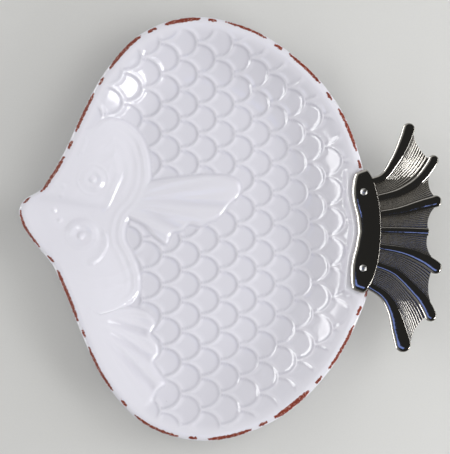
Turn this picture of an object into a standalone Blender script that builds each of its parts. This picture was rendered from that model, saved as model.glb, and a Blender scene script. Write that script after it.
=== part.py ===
"""A fish-shaped serving platter: a glazed earthenware dish in relief, with a cast metal tail on its rim.

Metres, +Z up. The dish stands on its foot ring at z = 0, the mouth points to -X and the tail to +X.
The outline, gill, fins and eyes are drawn in plan units, where 1 is half the width of the plate, so that they
stretch with it. Scales, walls and fittings have sizes of their own.
"""

import math
from collections import namedtuple

import bmesh
import bpy
import numpy as np
from mathutils import Vector
from mathutils.geometry import delaunay_2d_cdt

# Dish
PLATE_LENGTH = 0.3015  # mouth to the rim under the tail
PLATE_WIDTH = 0.3610
RIM_HEIGHT = 0.0360
LIP_WIDTH = 0.0055  # rolled edge, seen from above
LIP_DROP = 0.0025  # from the rim's crest down to its outermost edge
WALL_WIDTH = 0.0560  # sloping wall, seen from above
WALL_EASE = 0.75  # below 1, the wall is steepest near the rim
WALL_THICKNESS = 0.0065
FLOOR_THICKNESS = 0.0060
FOOT_HEIGHT = 0.0035
FOOT_LENGTH = 0.1400  # along the middle of the foot ring
FOOT_WIDTH = 0.1800
FOOT_RING_WIDTH = 0.0070
FOOT_DRAFT = 0.0015

# Scales: rows of arcs, open towards the head
SCALE_LENGTH = 0.01553  # from one column of arcs to the next
SCALE_WIDTH = 0.02585  # across one scale
SCALE_RISE = 0.00125
SCALE_INNER_SLOPE = 0.0013
SCALE_OUTER_SLOPE = 0.0026
SCALE_ORIGIN = (0.0468, 0.0438)  # a meeting point of arcs behind the pectoral fin
SCALE_LEAN = 0.00070  # the rows lean towards the head, per row up
SCALE_TILT = 0.00026  # the columns climb towards the tail, per column
SCALE_NARROWING = (0.000130, 0.000036)  # length and width lost per row up and per column
SCALE_BEND = (0.000084, 0.000038)  # bend of the rows, along and across
SCALE_BOW = (0.000015, 0.000058)  # bend of the columns, along and across
PLAIN_RIM = 0.0075  # band inside the edge with no relief
SCALE_FADE = 0.0070  # over which the scales then come up
SCALE_CLEARANCE = 0.0008  # from the head and fins, where the scales stop
FIGURE_FADE = 0.0200  # and the head and fins

# Head and fins
HEAD_RISE = 0.0026
HEAD_EDGE = 0.0026  # width of the step down to the scales
FACE_RISE = 0.0050  # fullness of the face
FACE_WIDTH = 0.0400  # over which it rises from the gill, and from the plain rim
GILL_LIPS = ((0.0048, 0.0009), (0.0100, 0.0006))  # lips behind the step: distance inside it, rise
GILL_LIP_WIDTH = 0.0022
FIN_RISE = 0.0026
FIN_EDGE = 0.0018
FIN_GROOVE_DEPTH = 0.0013
FIN_GROOVE_WIDTH = 0.0050
FIN_GROOVE_RUN = 0.67  # share of a groove's length over which it deepens
EYE_DOME_RADIUS = 0.0050
EYE_DOME_RISE = 0.0014
EYE_RING_RISE = 0.0010
EYE_RING_WIDTH = 0.0030
CREASE_RISE = 0.0009  # brow, and fold under the lower eye
CREASE_WIDTH = 0.0060

# Tail
TAIL_ANGLE = math.radians(-0.9)  # of the band's middle, seen from the middle of the plate
BAND_LENGTH = 0.1070
BAND_REACH = 0.0131  # from the rim's edge inwards, at the waist
BAND_LOBE = 0.0041  # further in at the screws
BAND_OVERHANG = 0.0070  # past the rim's edge, at the middle
BAND_BOW = 0.0046  # less than that at the ends
BAND_SKEW = 0.062  # the band moves inwards towards its lower end, by this share of the way along it
BAND_THICKNESS = 0.0055
BAND_EDGE = 0.0016  # upright side, below the roll
BAND_ROLL = 0.0050  # width of the roll at the ends and the inner side, seen from above
BAND_OUTER_ROLL = 0.0012
BAND_CORNER = 5.0  # exponent of the rounded ends
SEAT_DROP = 0.0015  # flat under the band, below the rim's crest
SEAT_MARGIN = 0.0015
SEAT_BLEND = 0.0060
FAN_LAP = 0.0030  # of the fan into the band
FAN_THICKNESS = 0.0028
FAN_LIFT = 0.0004  # underside of the fan, above that of the band
FAN_CURL = 0.0035  # rise of the tips
FAN_CURL_LENGTH = 0.0550
RIB_ROOT_WIDTH = 0.0065
RIB_RISE = 0.0020
WEB_SAG = 0.0020  # hollow of the webs' outer edges

# Fixings
GAP = 0.0003  # between pieces that touch
GASKET_THICKNESS = 0.0010
GASKET_INSET = 0.0020
GASKET_LAND = 0.0015  # left free along the rim's edge
SCREW_FROM_ENDS = (0.0184, 0.0214)  # upper and lower end of the band
SCREW_INWARD = 0.0064  # from the rim's edge, at the band's middle
SCREW_DIAMETER = 0.0040
SCREW_HEAD_DIAMETER = 0.0062
SCREW_HEAD_HEIGHT = 0.0020
SCREW_CHAMFER = 0.0006
SCREW_TIP_CLEARANCE = 0.0009  # above the bottom of the nut's hole
DISH_HOLE_PLAY = 0.0010  # on the diameter: fired holes are wide
SOFT_WASHER_DIAMETER = 0.0100
SOFT_WASHER_THICKNESS = 0.0015
STEEL_WASHER_DIAMETER = 0.0090
STEEL_WASHER_THICKNESS = 0.0010
NUT_ACROSS_FLATS = 0.0070
NUT_HEX_HEIGHT = 0.0036
NUT_DOME_HEIGHT = 0.0040
NUT_THREAD_DEPTH = 0.0056
NUT_CHAMFER = 0.0004

# Fineness of the meshes
RIM_POINTS = 108
LIP_STEPS = (0.0, 0.09, 0.34, 1.0)  # rings round the rolled lip, in lip widths from the edge
OUTLINE_SAMPLES = 1440
MOUTH_SPAN = (155.0, 197.0)  # degrees, where the rim takes twice the points
ARC_SEGMENTS = 6
ARC_SHOWN = 0.3  # least share of its rise at which an arc gets points of its own
ARC_FOOT = 0.2  # most share of the rise at the foot of an arc
FIGURE_SHOWN = 0.05  # least share of their rise at which the head and fins get lines
NEWTON_STEPS = 4
FILL_SPACING = 0.0095
LINE_SPACING = 0.0070
UNDER_POINTS = 54
BAND_POINTS = 56
ROLL_SEGMENTS = 4
ROUND_POINTS = 24
DOME_TURNS = np.radians((0.0, 20.0, 40.0, 60.0, 78.0))  # rings up a dome
TIP_SEGMENTS = 6
WEB_SEGMENTS = 5
RIB_STEP = 0.0040
RIB_PROFILE = (0.0, -0.6, 0.6, -0.92, 0.92, -1.0, 1.0)  # lines along a rib, in half widths from its middle
WELD = 0.00005
SHARP_ANGLE = math.radians(40.0)  # edges sharper than this stay sharp

# Plan of the fish, in plan units: the outline as degrees from the tail and radius
OUTLINE = (
    (0, 0.814), (21, 0.822), (42, 0.876), (60, 0.925), (78, 0.979), (92, 1.000), (108, 0.956),
    (120, 0.874), (135, 0.782), (150, 0.737), (161, 0.752), (167, 0.784), (170, 0.834), (173, 0.857),
    (178.4, 0.840), (184, 0.791), (192, 0.725), (204, 0.704), (222, 0.749), (240, 0.862), (255, 0.961),
    (270, 0.998), (290, 0.972), (312, 0.906), (330, 0.859), (339, 0.848),
)
GILL = (
    (-0.640, 0.390), (-0.527, 0.452), (-0.433, 0.523), (-0.358, 0.509), (-0.292, 0.452), (-0.254, 0.363),
    (-0.245, 0.231), (-0.292, 0.113), (-0.353, 0.038), (-0.365, -0.043), (-0.325, -0.127), (-0.292, -0.235),
    (-0.297, -0.301), (-0.367, -0.372), (-0.471, -0.400), (-0.537, -0.363), (-0.640, -0.330),
)
FACE_BACK = ((-1.2, -0.33), (-1.2, 0.39))  # closes the head beyond the mouth
PECTORAL_FIN = (
    (-0.386, 0.071), (-0.330, 0.160), (-0.245, 0.222), (-0.188, 0.231), (-0.061, 0.247), (0.071, 0.254),
    (0.141, 0.245), (0.184, 0.217), (0.188, 0.193), (0.127, 0.113), (0.060, 0.045), (0.038, 0.038),
    (0.000, 0.019), (-0.057, 0.026), (-0.089, 0.000), (-0.141, -0.017), (-0.167, -0.068), (-0.212, -0.038),
    (-0.268, 0.019), (-0.334, 0.052),
)
PECTORAL_GROOVES = (((-0.330, 0.140), (0.127, 0.113)), ((-0.330, 0.100), (-0.089, 0.000)))
PELVIC_FIN = (
    (-0.471, -0.400), (-0.367, -0.372), (-0.308, -0.381), (-0.245, -0.412), (-0.221, -0.447),
    (-0.245, -0.504), (-0.212, -0.556), (-0.207, -0.598), (-0.231, -0.624), (-0.202, -0.688),
    (-0.174, -0.730), (-0.212, -0.763), (-0.231, -0.810), (-0.283, -0.848), (-0.380, -0.900),
    (-0.700, -0.800), (-0.640, -0.330), (-0.537, -0.363),
)
PELVIC_GROOVES = (
    ((-0.500, -0.410), (-0.245, -0.504)),
    ((-0.500, -0.440), (-0.231, -0.624)),
    ((-0.500, -0.470), (-0.212, -0.763)),
)
EYES = (((-0.499, 0.226), 0.0080), ((-0.551, -0.033), 0.0090))  # middle, and radius of the ring
CREASES = (
    ((-0.377, 0.250), (-0.415, 0.180), (-0.443, 0.104)),
    ((-0.457, 0.005), (-0.447, -0.057), (-0.466, -0.113), (-0.513, -0.160), (-0.584, -0.179)),
)

# Ribs of the tail: root as a share of the band, width and roundness of the tip, and points on its middle line
# from where it leaves the band
RIBS = (
    (0.391, 0.0106, 1.0, ((0.0055, 0.0022), (0.0165, 0.0160), (0.0242, 0.0313), (0.0301, 0.0486))),
    (0.255, 0.0089, 1.0, ((0.0182, 0.0055), (0.0335, 0.0153), (0.0424, 0.0262), (0.0478, 0.0360))),
    (0.133, 0.0102, 1.0, ((0.0164, 0.0028), (0.0334, 0.0076), (0.0509, 0.0122))),
    (0.010, 0.0068, 0.25, ((0.0203, -0.0004), (0.0402, -0.0013))),
    (-0.115, 0.0110, 1.0, ((0.0210, -0.0042), (0.0380, -0.0115), (0.0505, -0.0206))),
    (-0.251, 0.0102, 1.0, ((0.0147, -0.0070), (0.0275, -0.0189), (0.0385, -0.0316), (0.0464, -0.0474))),
    (-0.422, 0.0136, 1.0, ((0.0111, -0.0083), (0.0187, -0.0206), (0.0236, -0.0372), (0.0283, -0.0554))),
)
# Where each web meets the ribs above and below it, back from their tips
WEB_SETBACKS = (
    (0.0088, 0.0050), (0.0175, 0.0055), (0.0076, 0.0014),
    (0.0014, 0.0134), (0.0060, 0.0155), (0.0058, 0.0072),
)

# Sizes that follow from those above
FLOOR_HEIGHT = FOOT_HEIGHT + FLOOR_THICKNESS
SEAT_HEIGHT = RIM_HEIGHT - SEAT_DROP
SEAT_UNDERSIDE = SEAT_HEIGHT - WALL_THICKNESS
GASKET_BASE = SEAT_HEIGHT + GAP
BAND_BASE = GASKET_BASE + GASKET_THICKNESS + GAP
BAND_TOP = BAND_BASE + BAND_THICKNESS
SOFT_WASHER_TOP = SEAT_UNDERSIDE - GAP
STEEL_WASHER_TOP = SOFT_WASHER_TOP - SOFT_WASHER_THICKNESS - GAP
NUT_TOP = STEEL_WASHER_TOP - STEEL_WASHER_THICKNESS - GAP
HOLE_DIAMETER = SCREW_DIAMETER + 2 * GAP
SCREW_SPACING = BAND_LENGTH - sum(SCREW_FROM_ENDS)
SCREW_MIDDLE = (SCREW_FROM_ENDS[1] - SCREW_FROM_ENDS[0]) / 2
LIP_MERGE = LIP_WIDTH / 12  # plan points of the dish closer than this are one
RIB_MERGE = RIB_ROOT_WIDTH / 40  # and those of the fan
TINY = 1e-9


def smoothstep(value):
    value = np.clip(value, 0.0, 1.0)
    return value * value * (3.0 - 2.0 * value)


def blend(first, second, share):
    return first + (second - first) * share


def through(knots, values, at):
    """Values on the smooth curve that passes through the given ones at rising knots."""
    knots = np.asarray(knots, float)
    values = np.asarray(values, float)
    slopes = np.gradient(values, knots, axis=0)
    left = np.clip(np.searchsorted(knots, at, side="right") - 1, 0, len(knots) - 2)
    span = knots[left + 1] - knots[left]
    t = (at - knots[left]) / span
    if values.ndim > 1:
        span = span[..., None]
        t = t[..., None]
    start = values[left] * (2 * t**3 - 3 * t**2 + 1) + slopes[left] * span * (t**3 - 2 * t**2 + t)
    end = values[left + 1] * (3 * t**2 - 2 * t**3) + slopes[left + 1] * span * (t**3 - t**2)
    return start + end


def lengths_along(path):
    return np.concatenate([[0.0], np.cumsum(np.linalg.norm(np.diff(path, axis=0), axis=1))])


def smooth_path(points, spacing):
    """Points about a spacing apart on the smooth curve through the given ones."""
    points = np.asarray(points, float)
    at = lengths_along(points)
    count = max(2, round(at[-1] / spacing) + 1)
    return through(at, points, np.linspace(0.0, at[-1], count))


# Plan of the plate

OUTLINE_ANGLES = np.radians([degrees + turn for turn in (-360, 0, 360) for degrees, _ in OUTLINE])
OUTLINE_RADII = np.array([radius for _ in range(3) for _, radius in OUTLINE])


def outline_radius(angle):
    return through(OUTLINE_ANGLES, OUTLINE_RADII, angle)


def plan_scale():
    """Metres for one plan unit, along and across the plate."""
    angles = np.linspace(-math.pi, math.pi, OUTLINE_SAMPLES)
    radii = outline_radius(angles)
    along, across = radii * np.cos(angles), radii * np.sin(angles)
    return np.array([PLATE_LENGTH / np.ptp(along), PLATE_WIDTH / np.ptp(across)])


PLAN = plan_scale()


def rim_point(angle, outward=0.0):
    """Plan point on the rim's edge at an angle, or beyond it."""
    radius = outline_radius(angle)
    edge = np.stack([PLAN[0] * radius * np.cos(angle), PLAN[1] * radius * np.sin(angle)], axis=-1)
    reach = np.linalg.norm(edge, axis=-1)
    return edge * ((reach + outward) / reach)[..., None]


def polar(x, y):
    """Angle of a plan point, and its distance inwards from the rim's edge along the radius."""
    angle = np.arctan2(y / PLAN[1], x / PLAN[0])
    return angle, np.linalg.norm(rim_point(angle), axis=-1) - np.hypot(x, y)


def line_distance(line, x, y):
    """Distance from a straight line, and the share along it of the nearest point."""
    (ax, ay), (bx, by) = line
    along = ((x - ax) * (bx - ax) + (y - ay) * (by - ay)) / ((bx - ax) ** 2 + (by - ay) ** 2)
    along = np.clip(along, 0.0, 1.0)
    return np.hypot(x - blend(ax, bx, along), y - blend(ay, by, along)), along


def inside_distance(loop, x, y):
    """Distance into a closed plan loop: positive inside it, negative outside."""
    nearest = np.full(np.shape(x), np.inf)
    inside = np.zeros(np.shape(x), bool)
    for (ax, ay), (bx, by) in zip(loop, np.roll(loop, -1, axis=0)):
        nearest = np.minimum(nearest, line_distance(((ax, ay), (bx, by)), x, y)[0])
        if ay != by:
            crosses = ((ay > y) != (by > y)) & (x < ax + (y - ay) * (bx - ax) / (by - ay))
            inside ^= crosses
    return np.where(inside, nearest, -nearest)


def path_distance(path, x, y):
    return np.min([line_distance(line, x, y)[0] for line in zip(path, path[1:])], axis=0)


GILL_LINE = smooth_path(np.array(GILL) * PLAN, LINE_SPACING)
HEAD_LOOP = np.concatenate([GILL_LINE, np.array(FACE_BACK) * PLAN])
FINS = (PECTORAL_FIN, PELVIC_FIN)
FIN_LOOPS = [smooth_path(np.array(fin + fin[:1]) * PLAN, LINE_SPACING)[:-1] for fin in FINS]
FIN_GROOVES = [[np.array(line) * PLAN for line in lines] for lines in (PECTORAL_GROOVES, PELVIC_GROOVES)]
CREASE_LINES = [smooth_path(np.array(crease) * PLAN, LINE_SPACING / 2) for crease in CREASES]
TAIL_RADIUS = np.linalg.norm(rim_point(np.array(TAIL_ANGLE)))


# Heights of the dish


def wall_share(inward):
    """Share of the way across the wall: 0 at the lip, 1 where it meets the floor."""
    return np.clip((inward - LIP_WIDTH) / WALL_WIDTH, 0.0, 1.0)


def wall_height(inward):
    return blend(RIM_HEIGHT, FLOOR_HEIGHT, smoothstep(wall_share(inward) ** WALL_EASE))


def wall_depth(inward):
    """Upright thickness of the wall: more where it slopes."""
    share = wall_share(inward)
    eased = share**WALL_EASE
    fall = (RIM_HEIGHT - FLOOR_HEIGHT) / WALL_WIDTH
    slope = 6 * WALL_EASE * share ** (2 * WALL_EASE - 1) * (1.0 - eased) * fall
    return blend(WALL_THICKNESS, FLOOR_THICKNESS, smoothstep(eased)) * np.sqrt(1.0 + slope**2)


def lip_roll(inward):
    """0 inside the lip, and 1 at the edge, as a quarter round falls."""
    share = np.clip(1.0 - inward / LIP_WIDTH, 0.0, 1.0)
    return 1.0 - np.sqrt(1.0 - share**2)


def band_reach(along):
    """How far the band reaches inwards: furthest at its two screws."""
    lobe = np.sin(np.pi * np.clip(np.abs(along - SCREW_MIDDLE) / SCREW_SPACING, 0.0, 1.0)) ** 2
    return BAND_REACH + BAND_LOBE * lobe - BAND_SKEW * along


def band_overhang(along):
    """How far the band reaches out past the rim's edge."""
    return BAND_OVERHANG - BAND_BOW * (2 * along / BAND_LENGTH) ** 2 + BAND_SKEW * along


def seat_share(x, y):
    """1 on the flat land under the band, 0 clear of it."""
    angle, inward = polar(x, y)
    along = (angle - TAIL_ANGLE) * TAIL_RADIUS
    outside = np.maximum(np.abs(along) - BAND_LENGTH / 2, inward - band_reach(along))
    return 1.0 - smoothstep((outside - SEAT_MARGIN) / SEAT_BLEND)


def scale_point(column, row):
    """Plan point of a place in the rows and columns of scales."""
    x = SCALE_ORIGIN[0] + SCALE_LENGTH * column - SCALE_LEAN * row
    y = SCALE_ORIGIN[1] + SCALE_WIDTH * row + SCALE_TILT * column
    x = x - SCALE_NARROWING[0] * column * row - SCALE_BEND[0] * column**2 - SCALE_BOW[0] * row**2
    y = y - SCALE_NARROWING[1] * column * row + SCALE_BEND[1] * column**2 - SCALE_BOW[1] * row**2
    return x, y


def scale_place(x, y):
    """Row and column of a plan point, by Newton's steps back through scale_point."""
    column = (x - SCALE_ORIGIN[0]) / SCALE_LENGTH
    row = (y - SCALE_ORIGIN[1]) / SCALE_WIDTH
    for _ in range(NEWTON_STEPS):
        now_x, now_y = scale_point(column, row)
        x_column = SCALE_LENGTH - SCALE_NARROWING[0] * row - 2 * SCALE_BEND[0] * column
        x_row = -SCALE_LEAN - SCALE_NARROWING[0] * column - 2 * SCALE_BOW[0] * row
        y_column = SCALE_TILT - SCALE_NARROWING[1] * row + 2 * SCALE_BEND[1] * column
        y_row = SCALE_WIDTH - SCALE_NARROWING[1] * column - 2 * SCALE_BOW[1] * row
        area = x_column * y_row - x_row * y_column
        column = column + ((x - now_x) * y_row - (y - now_y) * x_row) / area
        row = row + ((y - now_y) * x_column - (x - now_x) * y_column) / area
    return column, row


def row_shift(column):
    """Scales of even columns stand half a scale up from those of odd ones."""
    return np.where(np.mod(column, 2) == 0, 0.5, 0.0)


def arc_distance(column, row):
    """Distance from the arc of the scale whose middle is at 0, 0: negative inside it."""
    ring = np.maximum(np.hypot(column, 2 * row), TINY)
    steepness = np.hypot(column / SCALE_LENGTH, 4 * row / SCALE_WIDTH) / ring
    front = (ring - 1.0) / np.maximum(steepness, TINY)
    ends = np.hypot(column * SCALE_LENGTH, (np.abs(row) - 0.5) * SCALE_WIDTH)
    return np.where(column > 0, front, ends)


def scale_ridges(x, y):
    column, row = scale_place(x, y)
    ridge = np.zeros(np.shape(x))
    for step in (-1, 0, 1):
        middle_column = np.floor(column) + step
        shift = row_shift(middle_column)
        lower_row = np.floor(row - shift) + shift
        for middle_row in (lower_row, lower_row + 1.0):
            off = arc_distance(column - middle_column, row - middle_row)
            flank = np.where(off < 0, -off / SCALE_INNER_SLOPE, off / SCALE_OUTER_SLOPE)
            ridge = np.maximum(ridge, smoothstep(1.0 - flank))
    return SCALE_RISE * ridge


def bump(distance, width):
    """1 at no distance, falling to 0 at half the width."""
    return smoothstep(1.0 - 2.0 * np.abs(distance) / width)


def head_relief(x, y):
    inside = inside_distance(HEAD_LOOP, x, y)
    height = HEAD_RISE * smoothstep(0.5 + inside / HEAD_EDGE)
    height = height + FACE_RISE * smoothstep(inside / FACE_WIDTH) * relief_share(polar(x, y)[1], FACE_WIDTH)
    for behind, rise in GILL_LIPS:
        height = height + rise * bump(inside - behind, 2 * GILL_LIP_WIDTH)
    for (u, v), ring in EYES:
        radius = np.hypot(x - u * PLAN[0], y - v * PLAN[1])
        height = height + EYE_DOME_RISE * np.clip(1.0 - (radius / EYE_DOME_RADIUS) ** 2, 0.0, 1.0)
        height = height + EYE_RING_RISE * bump(radius - ring, EYE_RING_WIDTH)
    for crease in CREASE_LINES:
        height = height + CREASE_RISE * bump(path_distance(crease, x, y), CREASE_WIDTH)
    return height


def fin_relief(loop, grooves, x, y):
    inside = inside_distance(loop, x, y)
    height = FIN_RISE * smoothstep(0.5 + inside / FIN_EDGE)
    for line in grooves:
        off, along = line_distance(line, x, y)
        depth = FIN_GROOVE_DEPTH * smoothstep(along / FIN_GROOVE_RUN) * bump(off, 2 * FIN_GROOVE_WIDTH)
        height = height - depth * smoothstep(inside / FIN_EDGE)
    return height


def figure_relief(x, y):
    """Height of the head and fins over the body, and the share of the body that they leave to the scales."""
    heights = [head_relief(x, y)] + [fin_relief(*fin, x, y) for fin in zip(FIN_LOOPS, FIN_GROOVES)]
    insides = [inside_distance(loop, x, y) for loop in [HEAD_LOOP] + FIN_LOOPS]
    clear = smoothstep((-np.max(insides, axis=0) - SCALE_CLEARANCE) / SCALE_OUTER_SLOPE)
    return np.max(heights, axis=0), clear


def relief_share(inward, fade):
    return smoothstep((inward - PLAIN_RIM) / fade)


def top_height(x, y):
    _, inward = polar(x, y)
    figure, scaled = figure_relief(x, y)
    relief = figure * relief_share(inward, FIGURE_FADE)
    relief = relief + scaled * scale_ridges(x, y) * relief_share(inward, SCALE_FADE)
    plain = blend(wall_height(inward) + relief, SEAT_HEIGHT, seat_share(x, y))
    return plain - LIP_DROP * lip_roll(inward)


def foot_share(x, y):
    """1 on the flat of the foot ring, 0 clear of it."""
    radius = np.hypot(x, y)
    ring = radius / np.maximum(np.hypot(2 * x / FOOT_LENGTH, 2 * y / FOOT_WIDTH), TINY)
    return np.clip(1.0 - (np.abs(radius - ring) - FOOT_RING_WIDTH / 2) / FOOT_DRAFT, 0.0, 1.0)


def under_height(x, y):
    _, inward = polar(x, y)
    plain = blend(wall_height(inward) - wall_depth(inward), SEAT_UNDERSIDE, seat_share(x, y))
    rolled = plain + (WALL_THICKNESS - LIP_DROP) * lip_roll(inward)
    return rolled * (1.0 - foot_share(x, y))


# Triangulated surfaces


class Sketch:
    """Plan points and lines that a surface is triangulated on."""

    def __init__(self, spacing):
        self.spacing = spacing  # points closer than this are one
        self.points = []
        self.edges = []
        self.cells = {}

    def near(self, point, distance):
        reach = math.ceil(distance / self.spacing)
        column, row = (math.floor(value / self.spacing) for value in point)
        for i in range(column - reach, column + reach + 1):
            for j in range(row - reach, row + reach + 1):
                for found in self.cells.get((i, j), ()):
                    if math.dist(self.points[found], point) < distance:
                        return found
        return None

    def add(self, point):
        found = self.near(point, self.spacing)
        if found is None:
            found = len(self.points)
            self.points.append((float(point[0]), float(point[1])))
            cell = tuple(math.floor(value / self.spacing) for value in point)
            self.cells.setdefault(cell, []).append(found)
        return found

    def line(self, path, keep=None, closed=False):
        """Adds a path and its edges, except where keep is false."""
        keep = np.ones(len(path), bool) if keep is None else keep
        places = [self.add(point) if kept else None for point, kept in zip(path, keep)]
        following = places[1:] + places[:1] if closed else places[1:]
        for first, second in zip(places, following):
            if first is not None and second is not None and first != second:
                self.edges.append((first, second))

    def dots(self, points, clear):
        """Adds the points that lie clear of all the others."""
        for point in points:
            if self.near(point, clear) is None:
                self.add(point)

    def triangles(self):
        points = [Vector(point) for point in self.points]
        found = delaunay_2d_cdt(points, self.edges, [], 1, WELD / 10)
        return np.array([point[:] for point in found[0]]), found[2]


def add_surface(bm, sketch, height, upward):
    """Lifts a sketch to a height and adds its triangles."""
    points, faces = sketch.triangles()
    levels = height(points[:, 0], points[:, 1])
    verts = [bm.verts.new((x, y, z)) for (x, y), z in zip(points, levels)]
    for face in faces:
        corners = [verts[i] for i in face]
        bm.faces.new(corners if upward else corners[::-1])


def rim_angles():
    coarse = np.linspace(0.0, 360.0, RIM_POINTS, endpoint=False)
    between = coarse + 180.0 / RIM_POINTS
    mouth = between[(between > MOUTH_SPAN[0]) & (between < MOUTH_SPAN[1])]
    return np.radians(np.sort(np.concatenate([coarse, mouth])))


def add_rim(sketch):
    for step in LIP_STEPS:
        sketch.line(rim_point(rim_angles(), -step * LIP_WIDTH), closed=True)


def triangular_grid(low, high, spacing):
    columns = np.arange(low[0], high[0], spacing)
    rows = np.arange(low[1], high[1], spacing * math.sqrt(3) / 2)
    x, y = np.meshgrid(columns, rows)
    x[1::2] += spacing / 2
    return np.stack([x.ravel(), y.ravel()], axis=-1)


def plate_fill(spacing):
    """Points spread over the plate, inside its lip."""
    points = triangular_grid((-PLATE_LENGTH, -PLATE_WIDTH), (PLATE_LENGTH, PLATE_WIDTH), spacing)
    return points[polar(points[:, 0], points[:, 1])[1] > LIP_WIDTH + spacing / 2]


def scale_arcs():
    """Each arc's points and the way outwards from it, as (points, normals)."""
    turns = np.linspace(-math.pi / 2, math.pi / 2, ARC_SEGMENTS + 1)
    columns = np.arange(-math.ceil(PLATE_LENGTH / SCALE_LENGTH), math.ceil(PLATE_LENGTH / SCALE_LENGTH))
    rows = np.arange(-math.ceil(PLATE_WIDTH / SCALE_WIDTH), math.ceil(PLATE_WIDTH / SCALE_WIDTH))
    for column in columns:
        for row in rows + row_shift(column):
            points = np.stack(scale_point(column + np.cos(turns), row + 0.5 * np.sin(turns)), axis=-1)
            outward = np.stack([np.cos(turns) / SCALE_LENGTH, 2 * np.sin(turns) / SCALE_WIDTH], axis=-1)
            yield points, outward / np.linalg.norm(outward, axis=-1, keepdims=True)


def scales_show(points):
    x, y = points[:, 0], points[:, 1]
    inward = polar(x, y)[1]
    clear = figure_relief(x, y)[1] * relief_share(inward, SCALE_FADE) * (1.0 - seat_share(x, y))
    return clear > ARC_SHOWN


def add_scales(sketch):
    arcs = list(scale_arcs())
    for points, _ in arcs:
        sketch.line(points, scales_show(points))
    for points, outward in arcs:
        for offset in (-SCALE_INNER_SLOPE, SCALE_OUTER_SLOPE):
            feet = points + offset * outward
            low = scale_ridges(feet[:, 0], feet[:, 1]) < ARC_FOOT * SCALE_RISE
            sketch.dots(feet[low & scales_show(feet)], SCALE_INNER_SLOPE / math.sqrt(2))


def offset_loop(loop, distance):
    """A loop drawn again at a distance outside it, corner by corner."""
    ways = np.roll(loop, -1, axis=0) - np.roll(loop, 1, axis=0)
    area = np.sum(loop[:, 0] * np.roll(loop[:, 1], -1) - loop[:, 1] * np.roll(loop[:, 0], -1))
    out = np.stack([ways[:, 1], -ways[:, 0]], axis=-1) * np.sign(area)
    return loop + distance * out / np.linalg.norm(out, axis=-1, keepdims=True)


def in_relief(points):
    return relief_share(polar(points[:, 0], points[:, 1])[1], FIGURE_FADE) > FIGURE_SHOWN


def add_figure(sketch):
    """Lines of the head and fins: the foot and the top of each step, the lips, rings and grooves."""
    for loop in FIN_LOOPS:
        for offset in (-FIN_EDGE / 2, FIN_EDGE / 2):
            edge = offset_loop(loop, offset)
            sketch.line(edge, in_relief(edge), closed=True)
    covered = [inside_distance(loop, GILL_LINE[:, 0], GILL_LINE[:, 1]) > 0 for loop in FIN_LOOPS]
    shown = ~np.any(covered, axis=0)
    steps = [-HEAD_EDGE / 2, HEAD_EDGE / 2]
    for behind, _ in GILL_LIPS:
        steps += [behind - GILL_LIP_WIDTH, behind, behind + GILL_LIP_WIDTH]
    for behind in steps:
        edge = offset_loop(HEAD_LOOP, -behind)[: len(GILL_LINE)]
        sketch.line(edge, shown & in_relief(edge))
    turns = np.linspace(0.0, 2 * math.pi, ROUND_POINTS, endpoint=False)
    for (u, v), ring in EYES:
        middle = np.array([u, v]) * PLAN
        half = EYE_RING_WIDTH / 2
        for radius in (0.0, EYE_DOME_RADIUS / 2, EYE_DOME_RADIUS, ring - half, ring, ring + half):
            points = middle + radius * np.stack([np.cos(turns), np.sin(turns)], axis=-1)
            sketch.dots(points, EYE_RING_WIDTH / 3)
    for grooves, loop in zip(FIN_GROOVES, FIN_LOOPS):
        for line in grooves:
            middle = smooth_path(line, LINE_SPACING)
            across = np.array([-(line[1] - line[0])[1], (line[1] - line[0])[0]])
            across = across / np.linalg.norm(across)
            for offset in (0.0, -FIN_GROOVE_WIDTH, FIN_GROOVE_WIDTH):
                path = middle + offset * across
                inside = inside_distance(loop, path[:, 0], path[:, 1]) > FIN_EDGE
                sketch.dots(path[inside & in_relief(path)], FIN_EDGE)
    for crease in CREASE_LINES:
        ways = np.gradient(crease, axis=0)
        across = np.stack([-ways[:, 1], ways[:, 0]], axis=-1) / np.linalg.norm(ways, axis=-1, keepdims=True)
        for offset in (0.0, -CREASE_WIDTH / 2, CREASE_WIDTH / 2):
            sketch.dots(crease + offset * across, FIN_EDGE)


def add_seat(sketch, spacing):
    """Points along the edge of the flat under the band, and where it has faded into the wall."""
    along = np.linspace(-BAND_LENGTH / 2, BAND_LENGTH / 2, round(BAND_LENGTH / spacing) + 1)
    for margin in (0.0, SEAT_MARGIN, SEAT_MARGIN + SEAT_BLEND / 2, SEAT_MARGIN + SEAT_BLEND):
        angles = TAIL_ANGLE + along * (1.0 + 2 * margin / BAND_LENGTH) / TAIL_RADIUS
        sketch.dots(rim_point(angles, -band_reach(along) - margin), SEAT_MARGIN)
        for end in (angles[0], angles[-1]):
            inward = np.arange(LIP_WIDTH + SEAT_MARGIN, BAND_REACH + margin, spacing)
            sketch.dots(rim_point(np.full(len(inward), end), -inward), SEAT_MARGIN)


def dish_mesh():
    bm = bmesh.new()
    top = Sketch(LIP_MERGE)
    add_rim(top)
    add_seat(top, LINE_SPACING)
    add_scales(top)
    add_figure(top)
    top.dots(plate_fill(FILL_SPACING), FILL_SPACING / 2)
    add_surface(bm, top, top_height, True)
    under = Sketch(LIP_MERGE)
    add_rim(under)
    add_seat(under, LINE_SPACING)
    turns = np.linspace(0.0, 2 * math.pi, UNDER_POINTS, endpoint=False)
    foot = np.stack([np.cos(turns) * FOOT_LENGTH / 2, np.sin(turns) * FOOT_WIDTH / 2], axis=-1)
    reach = np.linalg.norm(foot, axis=-1, keepdims=True)
    half = FOOT_RING_WIDTH / 2
    for offset in (-half - FOOT_DRAFT, -half, half, half + FOOT_DRAFT):
        under.line(foot * (reach + offset) / reach, closed=True)
    under.dots(plate_fill(2 * FILL_SPACING), FILL_SPACING)
    add_surface(bm, under, under_height, False)
    bmesh.ops.remove_doubles(bm, verts=bm.verts, dist=WELD)
    return bm


# Tail


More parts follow.
